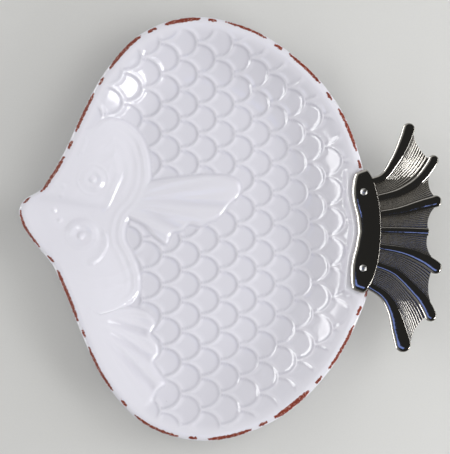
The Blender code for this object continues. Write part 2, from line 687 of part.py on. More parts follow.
def rounded(value):
    return np.sign(value) * np.abs(value) ** (2.0 / BAND_CORNER)


def band_plan(inset, outer):
    """Plan of a rounded strip along the rim, inset at its ends and inner side; outer gives its outer side."""
    turns = np.linspace(0.0, 2 * math.pi, BAND_POINTS, endpoint=False)
    along = (BAND_LENGTH / 2 - inset) * rounded(np.cos(turns))
    outward = blend(inset - band_reach(along), outer(along), (1.0 + rounded(np.sin(turns))) / 2)
    return rim_point(TAIL_ANGLE + along / TAIL_RADIUS, outward)[::-1]


def at_height(plan, z):
    return np.column_stack([plan, np.full(len(plan), z)])


def loft(bm, rings, closed=False):
    """Skins rings of points in turn, closing both ends, or the last to the first."""
    loops = [[bm.verts.new(point) for point in ring] for ring in rings]
    pairs = list(zip(loops, loops[1:]))
    if closed:
        pairs.append((loops[-1], loops[0]))
    for lower, upper in pairs:
        for i in range(len(lower)):
            j = (i + 1) % len(lower)
            bm.faces.new((lower[i], lower[j], upper[j], upper[i]))
    if not closed:
        bm.faces.new(loops[0][::-1])
        bm.faces.new(loops[-1])
    bmesh.ops.recalc_face_normals(bm, faces=bm.faces)
    return bm


def band_mesh():
    """The band: upright below, rolled over to a flat top, more on its inner side and ends."""
    rings = [at_height(band_plan(0.0, band_overhang), BAND_BASE)]
    roll = BAND_THICKNESS - BAND_EDGE
    for turn in np.linspace(0.0, math.pi / 2, ROLL_SEGMENTS + 1):
        drawn = 1.0 - math.cos(turn)
        plan = band_plan(BAND_ROLL * drawn, lambda along: band_overhang(along) - BAND_OUTER_ROLL * drawn)
        rings.append(at_height(plan, BAND_BASE + BAND_EDGE + roll * math.sin(turn)))
    return loft(bmesh.new(), rings)


# A rib: its middle line, unit ways across it, lengths along it, half widths, and where its tip starts
Rib = namedtuple("Rib", "path across lengths halves shoulder")


def rib_lines():
    """Each rib, from under the band to its tip."""
    for root, tip_width, tip_round, points in RIBS:
        along = root * BAND_LENGTH
        angle = np.array(TAIL_ANGLE + along / TAIL_RADIUS)
        edge = rim_point(angle, band_overhang(along))
        start = rim_point(angle, band_overhang(along) - FAN_LAP)
        path = smooth_path(np.concatenate([[start], edge + points]), RIB_STEP)
        lengths = lengths_along(path)
        shoulder = lengths[-1] - tip_round * tip_width / 2
        ways = np.gradient(path, axis=0)
        across = np.stack([-ways[:, 1], ways[:, 0]], axis=-1) / np.linalg.norm(ways, axis=-1, keepdims=True)
        halves = blend(RIB_ROOT_WIDTH, tip_width, smoothstep(lengths / shoulder)) / 2
        yield Rib(path, across, lengths, halves, shoulder)


def rib_side(rib, side, start, end):
    """Points beside a rib's middle line, in half widths, between two lengths along it."""
    at = np.linspace(start, end, max(2, round(abs(end - start) / RIB_STEP) + 1))
    return through(rib.lengths, rib.path + side * rib.halves[:, None] * rib.across, at)


def rib_tip(rib):
    across = through(rib.lengths, rib.across, np.array(rib.shoulder))
    way = np.array([across[1], -across[0]])
    turns = np.linspace(math.pi / 2, -math.pi / 2, TIP_SEGMENTS + 1)[1:-1, None]
    middle = rib_side(rib, 0.0, 0.0, rib.shoulder)[-1]
    reach = rib.lengths[-1] - rib.shoulder
    return middle + np.cos(turns) * reach * way + np.sin(turns) * rib.halves[-1] * across


def rib_offset(rib, x, y):
    """Distance from a rib's middle line, in half widths."""
    spine = rib_side(rib, 0.0, 0.0, rib.shoulder)
    halves = np.interp(lengths_along(spine), rib.lengths, rib.halves)
    offsets = []
    for i, line in enumerate(zip(spine, spine[1:])):
        off, along = line_distance(line, x, y)
        offsets.append(off / blend(halves[i], halves[i + 1], along))
    return np.min(offsets, axis=0)


def web_edge(start, end):
    """The hollow outer edge of a web, between its ends on two ribs."""
    share = np.linspace(0.0, 1.0, WEB_SEGMENTS + 1)[1:-1, None]
    way = end - start
    inwards = np.array([way[1], -way[0]]) / np.linalg.norm(way)
    return start + way * share + inwards * WEB_SAG * 4 * share * (1.0 - share)


def fan_outline(ribs):
    """Plan of the fan: up one side of each rib, round its tip, back down and across the next web's edge."""
    pieces = []
    for i, rib in enumerate(ribs):
        length = rib.lengths[-1]
        start = length - WEB_SETBACKS[i - 1][1] if i > 0 else 0.0
        end = length - WEB_SETBACKS[i][0] if i < len(WEB_SETBACKS) else 0.0
        side = rib_side(rib, 1.0, start, rib.shoulder)
        if i > 0:
            pieces.append(web_edge(pieces[-1][-1], side[0]))
        pieces += [side, rib_tip(rib), rib_side(rib, -1.0, rib.shoulder, end)]
    pieces.append(np.array([rib.path[0] for rib in ribs[::-1]]))
    return np.concatenate(pieces)


def fan_underside(x, y):
    """The fan curls up towards its tips."""
    _, inward = polar(x, y)
    return BAND_BASE + FAN_LIFT + FAN_CURL * np.maximum(-inward / FAN_CURL_LENGTH, 0.0) ** 2


def fan_mesh():
    """The fan: webs of even thickness, with rounded ribs on top."""
    ribs = list(rib_lines())
    outline = fan_outline(ribs)
    fill = triangular_grid(outline.min(axis=0), outline.max(axis=0), FILL_SPACING)
    fill = fill[inside_distance(outline, fill[:, 0], fill[:, 1]) > FILL_SPACING / 4]
    top = Sketch(RIB_MERGE)
    under = Sketch(RIB_MERGE)
    for sketch in (top, under):
        sketch.line(outline, closed=True)
    for rib in ribs:
        for side in RIB_PROFILE:
            line = rib_side(rib, side, RIB_STEP / 2, rib.shoulder)
            top.line(line, inside_distance(outline, line[:, 0], line[:, 1]) > RIB_MERGE)
    for sketch in (top, under):
        sketch.dots(fill, FILL_SPACING / 2)

    def topside(x, y):
        offset = np.min([rib_offset(rib, x, y) for rib in ribs], axis=0)
        crown = np.sqrt(np.clip(1.0 - offset**2, 0.0, 1.0))
        return fan_underside(x, y) + FAN_THICKNESS + RIB_RISE * crown

    bm = bmesh.new()
    add_surface(bm, top, topside, True)
    add_surface(bm, under, fan_underside, False)
    bmesh.ops.bridge_loops(bm, edges=[edge for edge in bm.edges if edge.is_boundary])
    bmesh.ops.recalc_face_normals(bm, faces=bm.faces)
    return bm


def gasket_mesh():
    """A thin liner on the seat, a little smaller than the band."""
    def outer(along):
        return np.minimum(band_overhang(along) - GASKET_INSET, -GASKET_LAND)
    plan = band_plan(GASKET_INSET, outer)
    return loft(bmesh.new(), [at_height(plan, z) for z in (GASKET_BASE, GASKET_BASE + GASKET_THICKNESS)])


# Fixings


def screw_places():
    along = SCREW_MIDDLE + np.array([0.5, -0.5]) * SCREW_SPACING
    places = rim_point(TAIL_ANGLE + along / TAIL_RADIUS, BAND_SKEW * along - SCREW_INWARD)
    return dict(zip(("upper", "lower"), places))


def circle(radius, z):
    turns = np.linspace(0.0, 2 * math.pi, ROUND_POINTS, endpoint=False)
    return np.column_stack([radius * np.cos(turns), radius * np.sin(turns), np.full(ROUND_POINTS, z)])


def hexagon(across_flats, z):
    ring = circle(1.0, z)
    turns = np.arctan2(ring[:, 1], ring[:, 0])
    radius = across_flats / 2 / np.cos(np.mod(turns, math.pi / 3) - math.pi / 6)
    ring[:, :2] *= radius[:, None]
    return ring


def screw_mesh():
    """A domed machine screw: its head sits on the band, and its shank ends inside the nut."""
    radius = SCREW_DIAMETER / 2
    under_head = BAND_TOP + GAP
    tip = NUT_TOP - NUT_THREAD_DEPTH + SCREW_TIP_CLEARANCE
    rings = [circle(radius - SCREW_CHAMFER, tip), circle(radius, tip + SCREW_CHAMFER)]
    rings.append(circle(radius, under_head))
    head = SCREW_HEAD_DIAMETER / 2
    for turn in DOME_TURNS:
        rings.append(circle(head * math.cos(turn), under_head + SCREW_HEAD_HEIGHT * math.sin(turn)))
    return loft(bmesh.new(), rings)


def washer_mesh(diameter, thickness, top):
    inner = HOLE_DIAMETER / 2
    base = top - thickness
    rings = [circle(inner, base), circle(diameter / 2, base), circle(diameter / 2, top), circle(inner, top)]
    return loft(bmesh.new(), rings, closed=True)


def cap_nut_mesh():
    """A cap nut, hexagonal at the washer and domed below, with its blind hole upwards."""
    bore = HOLE_DIAMETER / 2
    waist = NUT_TOP - NUT_HEX_HEIGHT
    rings = [circle(bore, NUT_TOP - NUT_THREAD_DEPTH), circle(bore, NUT_TOP - GAP)]
    rings.append(circle(bore + GAP, NUT_TOP))
    rings.append(hexagon(NUT_ACROSS_FLATS - 2 * NUT_CHAMFER, NUT_TOP))
    rings.append(hexagon(NUT_ACROSS_FLATS, NUT_TOP - NUT_CHAMFER))
    rings.append(hexagon(NUT_ACROSS_FLATS, waist + NUT_CHAMFER))
    rings.append(hexagon(NUT_ACROSS_FLATS - 2 * NUT_CHAMFER, waist))
    dome = NUT_ACROSS_FLATS / 2 - 2 * NUT_CHAMFER
    for turn in DOME_TURNS:
        rings.append(circle(dome * math.cos(turn), waist - NUT_CHAMFER - NUT_DOME_HEIGHT * math.sin(turn)))
    return loft(bmesh.new(), rings)


def hole_mesh(diameter, low, high):
    """Two round cutters, one at each screw."""
    bm = bmesh.new()
    for x, y in screw_places().values():
        rings = [circle(diameter / 2, z) + (x, y, 0.0) for z in (low, high)]
        loft(bm, rings)
    return bm


# Objects

FINISHES = {
    "dish": ("glazed earthenware", "DEDDE4", 0.12, 0.0),
    "tail_casting": ("polished casting", "A9A8A6", 0.14, 1.0),
    "tail_gasket": ("grey gasket", "55565A", 0.70, 0.0),
    "screw": ("bright screw", "C9C9C8", 0.15, 1.0),
    "soft_washer": ("soft washer", "4A4A4C", 0.75, 0.0),
    "steel_washer": ("steel washer", "B4B5B7", 0.30, 1.0),
    "cap_nut": ("plated nut", "C2C2C0", 0.20, 1.0),
}


def linear(hex_colour):
    """Linear red, green, blue and alpha of an sRGB hex colour."""
    parts = [int(hex_colour[i : i + 2], 16) / 255 for i in (0, 2, 4)]
    return [part / 12.92 if part <= 0.04045 else ((part + 0.055) / 1.055) ** 2.4 for part in parts] + [1.0]


def finish_material(name, finish):
    label, colour, roughness, metallic = finish
    material = bpy.data.materials.new(f"{label} {name}")
    material.use_nodes = True
    shader = material.node_tree.nodes["Principled BSDF"]
    shader.inputs["Base Color"].default_value = linear(colour)
    shader.inputs["Roughness"].default_value = roughness
    shader.inputs["Metallic"].default_value = metallic
    return material


def make_object(name, bm, parent, finish=None, place=(0.0, 0.0)):
    """Turns a bmesh into a named object; one with no finish is a hidden cutter or joined shape."""
    mesh = bpy.data.meshes.new(name)
    bm.to_mesh(mesh)
    bm.free()
    item = bpy.data.objects.new(name, mesh)
    item.location = (place[0], place[1], 0.0)
    item.parent = parent
    bpy.context.scene.collection.objects.link(item)
    if finish is None:
        item.hide_render = True
        item.display_type = "WIRE"
    else:
        mesh.materials.append(finish_material(name, finish))
        mesh.shade_smooth()
        mesh.set_sharp_from_angle(angle=SHARP_ANGLE)
    return item


def boolean(item, other, operation):
    modifier = item.modifiers.new(f"{operation.lower()} {other.name}", "BOOLEAN")
    modifier.operation = operation
    modifier.object = other
    modifier.solver = "EXACT"


def centre_of(items):
    """Middle of the plan box of some objects, before they are moved."""
    points = np.array([vert.co[:2] for item in items for vert in item.data.vertices])
    return (points.min(axis=0) + points.max(axis=0)) / 2


def build():
    for item in list(bpy.data.objects):
        bpy.data.objects.remove(item, do_unlink=True)
    platter = bpy.data.objects.new("platter", None)
    bpy.context.scene.collection.objects.link(platter)
    dish = make_object("dish", dish_mesh(), platter, FINISHES["dish"])
    tail = make_object("tail_casting", band_mesh(), platter, FINISHES["tail_casting"])
    fan = make_object("fan_shape", fan_mesh(), platter)
    gasket = make_object("tail_gasket", gasket_mesh(), platter, FINISHES["tail_gasket"])
    low = NUT_TOP - NUT_HEX_HEIGHT
    high = BAND_TOP + SCREW_HEAD_HEIGHT
    wide = make_object("dish_holes", hole_mesh(SCREW_DIAMETER + DISH_HOLE_PLAY, low, high), platter)
    close = make_object("band_holes", hole_mesh(HOLE_DIAMETER, low, high), platter)
    boolean(dish, wide, "DIFFERENCE")
    boolean(tail, fan, "UNION")
    boolean(tail, close, "DIFFERENCE")
    boolean(gasket, close, "DIFFERENCE")
    for side, place in screw_places().items():
        make_object(f"screw_{side}", screw_mesh(), platter, FINISHES["screw"], place)
        soft = washer_mesh(SOFT_WASHER_DIAMETER, SOFT_WASHER_THICKNESS, SOFT_WASHER_TOP)
        make_object(f"soft_washer_{side}", soft, platter, FINISHES["soft_washer"], place)
        steel = washer_mesh(STEEL_WASHER_DIAMETER, STEEL_WASHER_THICKNESS, STEEL_WASHER_TOP)
        make_object(f"steel_washer_{side}", steel, platter, FINISHES["steel_washer"], place)
        make_object(f"cap_nut_{side}", cap_nut_mesh(), platter, FINISHES["cap_nut"], place)
    middle = centre_of([dish, tail, fan])
    platter.location = (-middle[0], -middle[1], 0.0)


build()
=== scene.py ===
import math

import bmesh
import bpy
import numpy as np
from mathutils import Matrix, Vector


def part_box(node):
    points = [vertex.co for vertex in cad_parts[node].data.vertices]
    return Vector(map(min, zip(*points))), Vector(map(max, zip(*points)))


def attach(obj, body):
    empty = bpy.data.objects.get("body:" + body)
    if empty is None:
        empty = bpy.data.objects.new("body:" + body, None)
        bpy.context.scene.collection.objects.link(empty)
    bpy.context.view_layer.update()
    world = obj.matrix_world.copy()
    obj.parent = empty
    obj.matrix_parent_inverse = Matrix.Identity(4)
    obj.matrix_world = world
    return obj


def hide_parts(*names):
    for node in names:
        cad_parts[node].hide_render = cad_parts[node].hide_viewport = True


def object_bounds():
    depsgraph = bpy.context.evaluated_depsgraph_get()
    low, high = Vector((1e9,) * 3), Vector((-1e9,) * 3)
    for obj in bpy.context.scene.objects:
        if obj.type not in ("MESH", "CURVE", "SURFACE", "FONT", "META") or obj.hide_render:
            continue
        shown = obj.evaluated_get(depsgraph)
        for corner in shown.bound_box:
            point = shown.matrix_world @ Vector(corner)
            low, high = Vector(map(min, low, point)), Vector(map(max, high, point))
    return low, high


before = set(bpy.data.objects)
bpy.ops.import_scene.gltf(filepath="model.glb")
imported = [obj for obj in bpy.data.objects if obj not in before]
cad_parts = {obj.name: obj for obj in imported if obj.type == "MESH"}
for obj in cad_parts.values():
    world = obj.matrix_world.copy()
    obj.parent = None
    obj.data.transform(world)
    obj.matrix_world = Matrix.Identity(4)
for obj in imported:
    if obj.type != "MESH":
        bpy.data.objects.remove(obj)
cadLow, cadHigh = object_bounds()
mm = 0.001
tiny = 1e-9
print("frame loaded:", [round(side / mm, 1) for side in cadHigh - cadLow], "mm")


# Curves and heights. Sizes are in millimetres, and plan points are measured from the middle of the plate.

def smooth(share):
    share = np.clip(share, 0.0, 1.0)
    return share * share * (3.0 - 2.0 * share)


def between(first, second, share):
    return first + (second - first) * share


def fadeIn(value, start, width):  # 0 up to the start, 1 from a width past it
    return smooth((value - start) / width)


def bump(distance, halfWidth):  # 1 on a line, 0 at half its width from it
    return smooth(1.0 - np.abs(distance) / halfWidth)


def ramp(share, rounding=0.12):  # straight rise from 0 to 1, rounded at both ends
    return 0.5 + (np.hypot(share, rounding) - np.hypot(share - 1.0, rounding)) / 2


def curveThrough(knots, values, at):  # smooth curve through the values at rising knots
    knots = np.asarray(knots, float)
    values = np.asarray(values, float)
    slopes = np.gradient(values, knots, axis=0)
    left = np.clip(np.searchsorted(knots, at, side="right") - 1, 0, len(knots) - 2)
    span = knots[left + 1] - knots[left]
    t = (at - knots[left]) / span
    if values.ndim > 1:
        span = span[..., None]
        t = t[..., None]
    start = values[left] * (2 * t**3 - 3 * t**2 + 1) + slopes[left] * span * (t**3 - 2 * t**2 + t)
    end = values[left + 1] * (3 * t**2 - 2 * t**3) + slopes[left + 1] * span * (t**3 - t**2)
    return start + end


def lengthsAlong(path):
    return np.concatenate([[0.0], np.cumsum(np.linalg.norm(np.diff(path, axis=0), axis=1))])


def smoothPath(points, spacing):
    points = np.asarray(points, float)
    at = lengthsAlong(points)
    return curveThrough(at, points, np.linspace(0.0, at[-1], max(2, round(at[-1] / spacing) + 1)))


def lineDistance(line, x, y):  # distance from a straight line, and the share along it
    (ax, ay), (bx, by) = line
    run, climb = bx - ax, by - ay
    along = np.clip(((x - ax) * run + (y - ay) * climb) / (run**2 + climb**2), 0.0, 1.0)
    return np.hypot(x - between(ax, bx, along), y - between(ay, by, along)), along


def pathDistance(path, x, y):  # positive on the left of the way along a path
    nearest = np.full(np.shape(x), np.inf)
    signed = np.zeros(np.shape(x))
    for (ax, ay), (bx, by) in zip(path, path[1:]):
        off, _ = lineDistance(((ax, ay), (bx, by)), x, y)
        left = (bx - ax) * (y - ay) > (by - ay) * (x - ax)
        signed = np.where(off < nearest, np.where(left, off, -off), signed)
        nearest = np.minimum(nearest, off)
    return signed


def insideDistance(loop, x, y):  # positive inside a closed loop, negative outside
    nearest = np.full(np.shape(x), np.inf)
    inside = np.zeros(np.shape(x), bool)
    for (ax, ay), (bx, by) in zip(loop, np.roll(loop, -1, axis=0)):
        nearest = np.minimum(nearest, lineDistance(((ax, ay), (bx, by)), x, y)[0])
        if ay != by:
            inside ^= ((ay > y) != (by > y)) & (x < ax + (y - ay) * (bx - ax) / (by - ay))
    return np.where(inside, nearest, -nearest)


# The plate's outline, walls and foot

plate = {
    "length": 301.5,  # mouth to the rim under the tail
    "width": 361.0,
    "rimHeight": 36.0,
    "lipWidth": 5.5,
    "lipDrop": 2.5,
    "wallWidth": 56.0,
    "wallEase": 0.75,  # below 1, the wall is steepest near the rim
    "wallThickness": 6.5,
    "floorHeight": 9.5,
    "floorThickness": 6.0,
    "footLength": 140.0,
    "footWidth": 180.0,
    "footRing": 7.0,
    "footDraft": 1.5,
    # degrees from the tail, and radius in halves of the plate's width
    "outline": (
        (0, 0.814), (21, 0.822), (42, 0.876), (60, 0.925), (78, 0.979), (92, 1.000), (108, 0.956),
        (120, 0.874), (135, 0.782), (150, 0.737), (161, 0.752), (167, 0.784), (170, 0.834), (173, 0.857),
        (178.4, 0.840), (184, 0.791), (192, 0.725), (204, 0.704), (222, 0.749), (240, 0.862), (255, 0.961),
        (270, 0.998), (290, 0.972), (312, 0.906), (330, 0.859), (339, 0.848),
    ),
}
outlineAngles = np.radians([degrees + turn for turn in (-360, 0, 360) for degrees, _ in plate["outline"]])
outlineRadii = np.array([radius for _ in range(3) for _, radius in plate["outline"]])
roundAngles = np.linspace(-math.pi, math.pi, 4 * 360 + 1)  # every quarter degree


def outlineRadius(angle):
    return curveThrough(outlineAngles, outlineRadii, angle)


roundWays = np.stack([np.cos(roundAngles), np.sin(roundAngles)], axis=-1)
roundPlan = outlineRadius(roundAngles)[:, None] * roundWays
planScale = np.array([plate["length"], plate["width"]]) / np.ptp(roundPlan, axis=0)  # size of a plan unit
roundLengths = lengthsAlong(roundPlan * planScale)
dishLow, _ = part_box("dish")
plateMiddle = np.array(dishLow[:2]) / mm - (roundPlan * planScale).min(axis=0)


def toWorld(plan, z):  # plan points and heights in millimetres, as metres in the frame
    return np.column_stack([plan + plateMiddle, np.broadcast_to(z, len(plan))]) * mm


def rimPoint(angle, outward=0.0):
    radius = outlineRadius(angle)
    edge = np.stack([planScale[0] * radius * np.cos(angle), planScale[1] * radius * np.sin(angle)], axis=-1)
    reach = np.linalg.norm(edge, axis=-1)
    return edge * ((reach + outward) / reach)[..., None]


def rimPlace(x, y):  # angle, and millimetres inwards from the rim's edge
    angle = np.arctan2(y / planScale[1], x / planScale[0])
    return angle, np.linalg.norm(rimPoint(angle), axis=-1) - np.hypot(x, y)


def wallShare(inward):  # 0 at the lip, 1 where the wall meets the floor
    return np.clip((inward - plate["lipWidth"]) / plate["wallWidth"], 0.0, 1.0)


def wallHeight(inward):
    return between(plate["rimHeight"], plate["floorHeight"], smooth(wallShare(inward) ** plate["wallEase"]))


def wallDepth(inward):  # upright thickness, more where the wall slopes
    share, ease = wallShare(inward), plate["wallEase"]
    fall = (plate["rimHeight"] - plate["floorHeight"]) / plate["wallWidth"]
    slope = 6 * ease * share ** (2 * ease - 1) * (1.0 - share**ease) * fall
    depth = between(plate["wallThickness"], plate["floorThickness"], smooth(share**ease))
    return depth * np.sqrt(1.0 + slope**2)


def lipRoll(inward):
    share = np.clip(1.0 - inward / plate["lipWidth"], 0.0, 1.0)
    return 1.0 - np.sqrt(1.0 - share**2)


# The metal tail's plan, which the seat on the rim follows too

tail = {
    "angle": math.radians(-0.9),  # of the band's middle
    "bandLength": 107.0,
    "bandReach": 13.1,  # in from the rim's edge, at the waist
    "bandLobe": 4.1,  # further in at the screws
    "bandOverhang": 7.0,  # past the rim's edge, at the middle
    "bandBow": 4.6,  # less than that at the ends
    "bandSkew": 0.062,  # moves inwards towards the lower end, by this share of the way along
    "bandThickness": 5.5,
    "bandEdge": 1.6,  # upright side below the roll
    "innerRoll": 7.5,
    "outerRoll": 1.2,
    "bandCorner": 5.0,  # higher is squarer
    "bandPoints": 192,
    "rollRows": 10,
    "holeRadius": 2.3,
    "holeSegments": 32,
    "holeDepth": 60.0,  # of the cutter, well past both sides of the band
    "screwFromEnds": (18.4, 21.4),  # upper and lower end of the band
    "seatDrop": 1.5,
    "seatMargin": 1.5,
    "seatBlend": 6.0,
    "gasket": 1.0,
    "gap": 0.3,  # on either side of the gasket
    "fanLap": 3.0,  # of the fan into the band
    "fanThickness": 2.8,
    "fanLift": 0.4,  # underside of the fan, above that of the band
    "fanCurl": 3.5,
    "fanCurlLength": 55.0,
    "ribRootWidth": 6.5,
    "ribRise": 2.0,
    "ribSpacing": 1.0,  # between the points worked out along a rib
    "ribColumns": 16,
    "ribRows": 44,
    "webRows": 32,  # of those, where the webs reach
    "webGrooves": 9,
    "grooveColumns": 8,  # to each groove
    "grooveDepth": 0.6,
    "grooveShare": 0.4,  # deepest that a groove may be, as a share of its width
    "webSag": 2.0,  # of a web's free edge, towards the band
    "merge": 0.002,  # points of neighbouring patches that are this close are joined
    "sharpDegrees": 35.0,
    "filmHeight": 0.35,  # how far up the grooves' sides the film reaches
    "filmSlack": 0.2,  # how far it may run on to the band, or below the webs
    # root as a share of the band, width and roundness of the tip, and points on the middle line, from the
    # band's edge
    "ribs": (
        (0.391, 10.6, 1.0, ((5.5, 2.2), (16.5, 16.0), (24.2, 31.3), (30.1, 48.6))),
        (0.255, 8.9, 1.0, ((18.2, 5.5), (33.5, 15.3), (42.4, 26.2), (47.8, 36.0))),
        (0.133, 10.2, 1.0, ((16.4, 2.8), (33.4, 7.6), (50.9, 12.2))),
        (0.010, 6.8, 0.25, ((20.3, -0.4), (40.2, -1.3))),
        (-0.115, 11.0, 1.0, ((21.0, -4.2), (38.0, -11.5), (50.5, -20.6))),
        (-0.251, 10.2, 1.0, ((14.7, -7.0), (27.5, -18.9), (38.5, -31.6), (46.4, -47.4))),
        (-0.422, 13.6, 1.0, ((11.1, -8.3), (18.7, -20.6), (23.6, -37.2), (28.3, -55.4))),
    ),
    # how far back from the tips each web meets the ribs above and below it
    "webSetbacks": ((8.8, 5.0), (17.5, 5.5), (7.6, 1.4), (1.4, 13.4), (6.0, 15.5), (5.8, 7.2)),
}
tailRadius = np.linalg.norm(rimPoint(np.array(tail["angle"])))
seatHeight = plate["rimHeight"] - tail["seatDrop"]
bandBase = seatHeight + tail["gasket"] + 2 * tail["gap"]
screwSpacing = tail["bandLength"] - sum(tail["screwFromEnds"])
screwMiddle = (tail["screwFromEnds"][1] - tail["screwFromEnds"][0]) / 2


def bandReach(along):
    lobe = np.sin(np.pi * np.clip(np.abs(along - screwMiddle) / screwSpacing, 0.0, 1.0)) ** 2
    return tail["bandReach"] + tail["bandLobe"] * lobe - tail["bandSkew"] * along


def bandOverhang(along):
    bow = tail["bandBow"] * (2 * along / tail["bandLength"]) ** 2
    return tail["bandOverhang"] - bow + tail["bandSkew"] * along


def seatShare(x, y):  # 1 on the flat under the band
    angle, inward = rimPlace(x, y)
    along = (angle - tail["angle"]) * tailRadius
    outside = np.maximum(np.abs(along) - tail["bandLength"] / 2, inward - bandReach(along))
    return 1.0 - fadeIn(outside, tail["seatMargin"], tail["seatBlend"])


# Scales: rows of arcs on a bent lattice, counted in columns and rows

scales = {
    "length": 15.53,
    "width": 25.85,
    "rise": 1.15,
    "bowl": 4.0,  # width of each disc's hollow edge, inside its arc
    "outerSlope": 3.6,
    "discShade": 0.3,  # painted shade and pooled glaze on a disc, as a share of that in the line inside its arc
    "shadeLineStart": (0.5, 1.1),  # inside an arc, where the painted shade line begins, and the width over which it darkens
    "shadeLineEnd": (1.6, 2.8),  # where the painted shade line begins to fade, and over which width
    "origin": (46.8, 43.8),
    "lean": 0.70,  # of the columns
    "tilt": 0.26,  # of the rows
    "narrowing": (0.130, 0.036),  # in x and y, with column times row
    "bend": (0.084, 0.038),  # with the column squared
    "bow": (0.015, 0.058),  # with the row squared
    "plainRim": 7.5,
    "fade": 7.0,
    "clearance": 0.8,  # from the head and fins
    "cadSegments": 6,  # straight stretches to an arc of the solid
}


def scalePoint(column, row):
    x = scales["origin"][0] + scales["length"] * column - scales["lean"] * row
    y = scales["origin"][1] + scales["width"] * row + scales["tilt"] * column
    x = x - scales["narrowing"][0] * column * row - scales["bend"][0] * column**2 - scales["bow"][0] * row**2
    y = y - scales["narrowing"][1] * column * row + scales["bend"][1] * column**2 - scales["bow"][1] * row**2
    return x, y


def scalePlace(x, y, steps=4):  # Newton's steps back through scalePoint
    column = (x - scales["origin"][0]) / scales["length"]
    row = (y - scales["origin"][1]) / scales["width"]
    for _ in range(steps):
        nowX, nowY = scalePoint(column, row)
        xColumn = scales["length"] - scales["narrowing"][0] * row - 2 * scales["bend"][0] * column
        xRow = -scales["lean"] - scales["narrowing"][0] * column - 2 * scales["bow"][0] * row
        yColumn = scales["tilt"] - scales["narrowing"][1] * row + 2 * scales["bend"][1] * column
        yRow = scales["width"] - scales["narrowing"][1] * column - 2 * scales["bow"][1] * row
        area = xColumn * yRow - xRow * yColumn
        column = column + ((x - nowX) * yRow - (y - nowY) * xRow) / area
        row = row + ((y - nowY) * xColumn - (x - nowX) * yColumn) / area
    return column, row


def nearArcs(column, row):  # the arcs round a place: offset from each one's middle, and distance from it
    for step in (-1, 0, 1):
        middleColumn = np.floor(column) + step
        shift = np.where(np.mod(middleColumn, 2) == 0, 0.5, 0.0)
        lowerRow = np.floor(row - shift) + shift
        for middleRow in (lowerRow, lowerRow + 1.0):
            offColumn, offRow = column - middleColumn, row - middleRow
            ring = np.maximum(np.hypot(offColumn, 2 * offRow), tiny)
            steepness = np.hypot(offColumn / scales["length"], 4 * offRow / scales["width"]) / ring
            front = (ring - 1.0) / np.maximum(steepness, tiny)
            ends = np.hypot(offColumn * scales["length"], (np.abs(offRow) - 0.5) * scales["width"])
            yield offColumn, offRow, np.where(offColumn > 0, front, ends)


def scaleRidges(x, y):  # discs that curve up to a ridge along each arc
    ridge = np.zeros(np.shape(x))
    for _, _, off in nearArcs(*scalePlace(x, y)):
        inner = np.clip(1.0 + off / scales["bowl"], 0.0, 1.0) ** 2
        ridge = np.maximum(ridge, np.where(off < 0, inner, smooth(1.0 - off / scales["outerSlope"])))
    return scales["rise"] * ridge


def scaleShadeAndPooling(x, y):  # painted shade and pooled glaze: thinly on the discs, and in a darker line inside each arc
    line = np.zeros(np.shape(x))
    for offColumn, _, off in nearArcs(*scalePlace(x, y)):
        near = fadeIn(-off, *scales["shadeLineStart"]) * (1.0 - fadeIn(-off, *scales["shadeLineEnd"]))
        line = np.maximum(line, np.where(offColumn > 0, near, 0.0))
    # discs: painted shade, darker down in each disc and lightest on the ridges
    disc = 1.0 - scaleRidges(x, y) / scales["rise"]
    return np.maximum(scales["discShade"] * disc, line)


def roundArcs(x, y, share):  # moves points by the solid's straight-sided arcs out to true ones
    column, row = scalePlace(x, y)
    nearest = np.full(np.shape(x), np.inf)
    newColumn, newRow = column.copy(), row.copy()
    turn = math.pi / scales["cadSegments"]
    for offColumn, offRow, off in nearArcs(column, row):
        angle = np.arctan2(2 * offRow, offColumn)
        grow = np.cos(np.mod(angle, turn) - turn / 2) / math.cos(turn / 2) - 1.0
        grow = grow * share * (1.0 - fadeIn(np.abs(off), scales["outerSlope"], scales["outerSlope"]))
        closer = (np.abs(off) < nearest) & (offColumn > 0)
        nearest = np.where(closer, np.abs(off), nearest)
        newColumn = np.where(closer, column + offColumn * grow, newColumn)
        newRow = np.where(closer, row + offRow * grow, newRow)
    return scalePoint(newColumn, newRow)


# The head and fins, whose outlines and eyes are placed in plan units

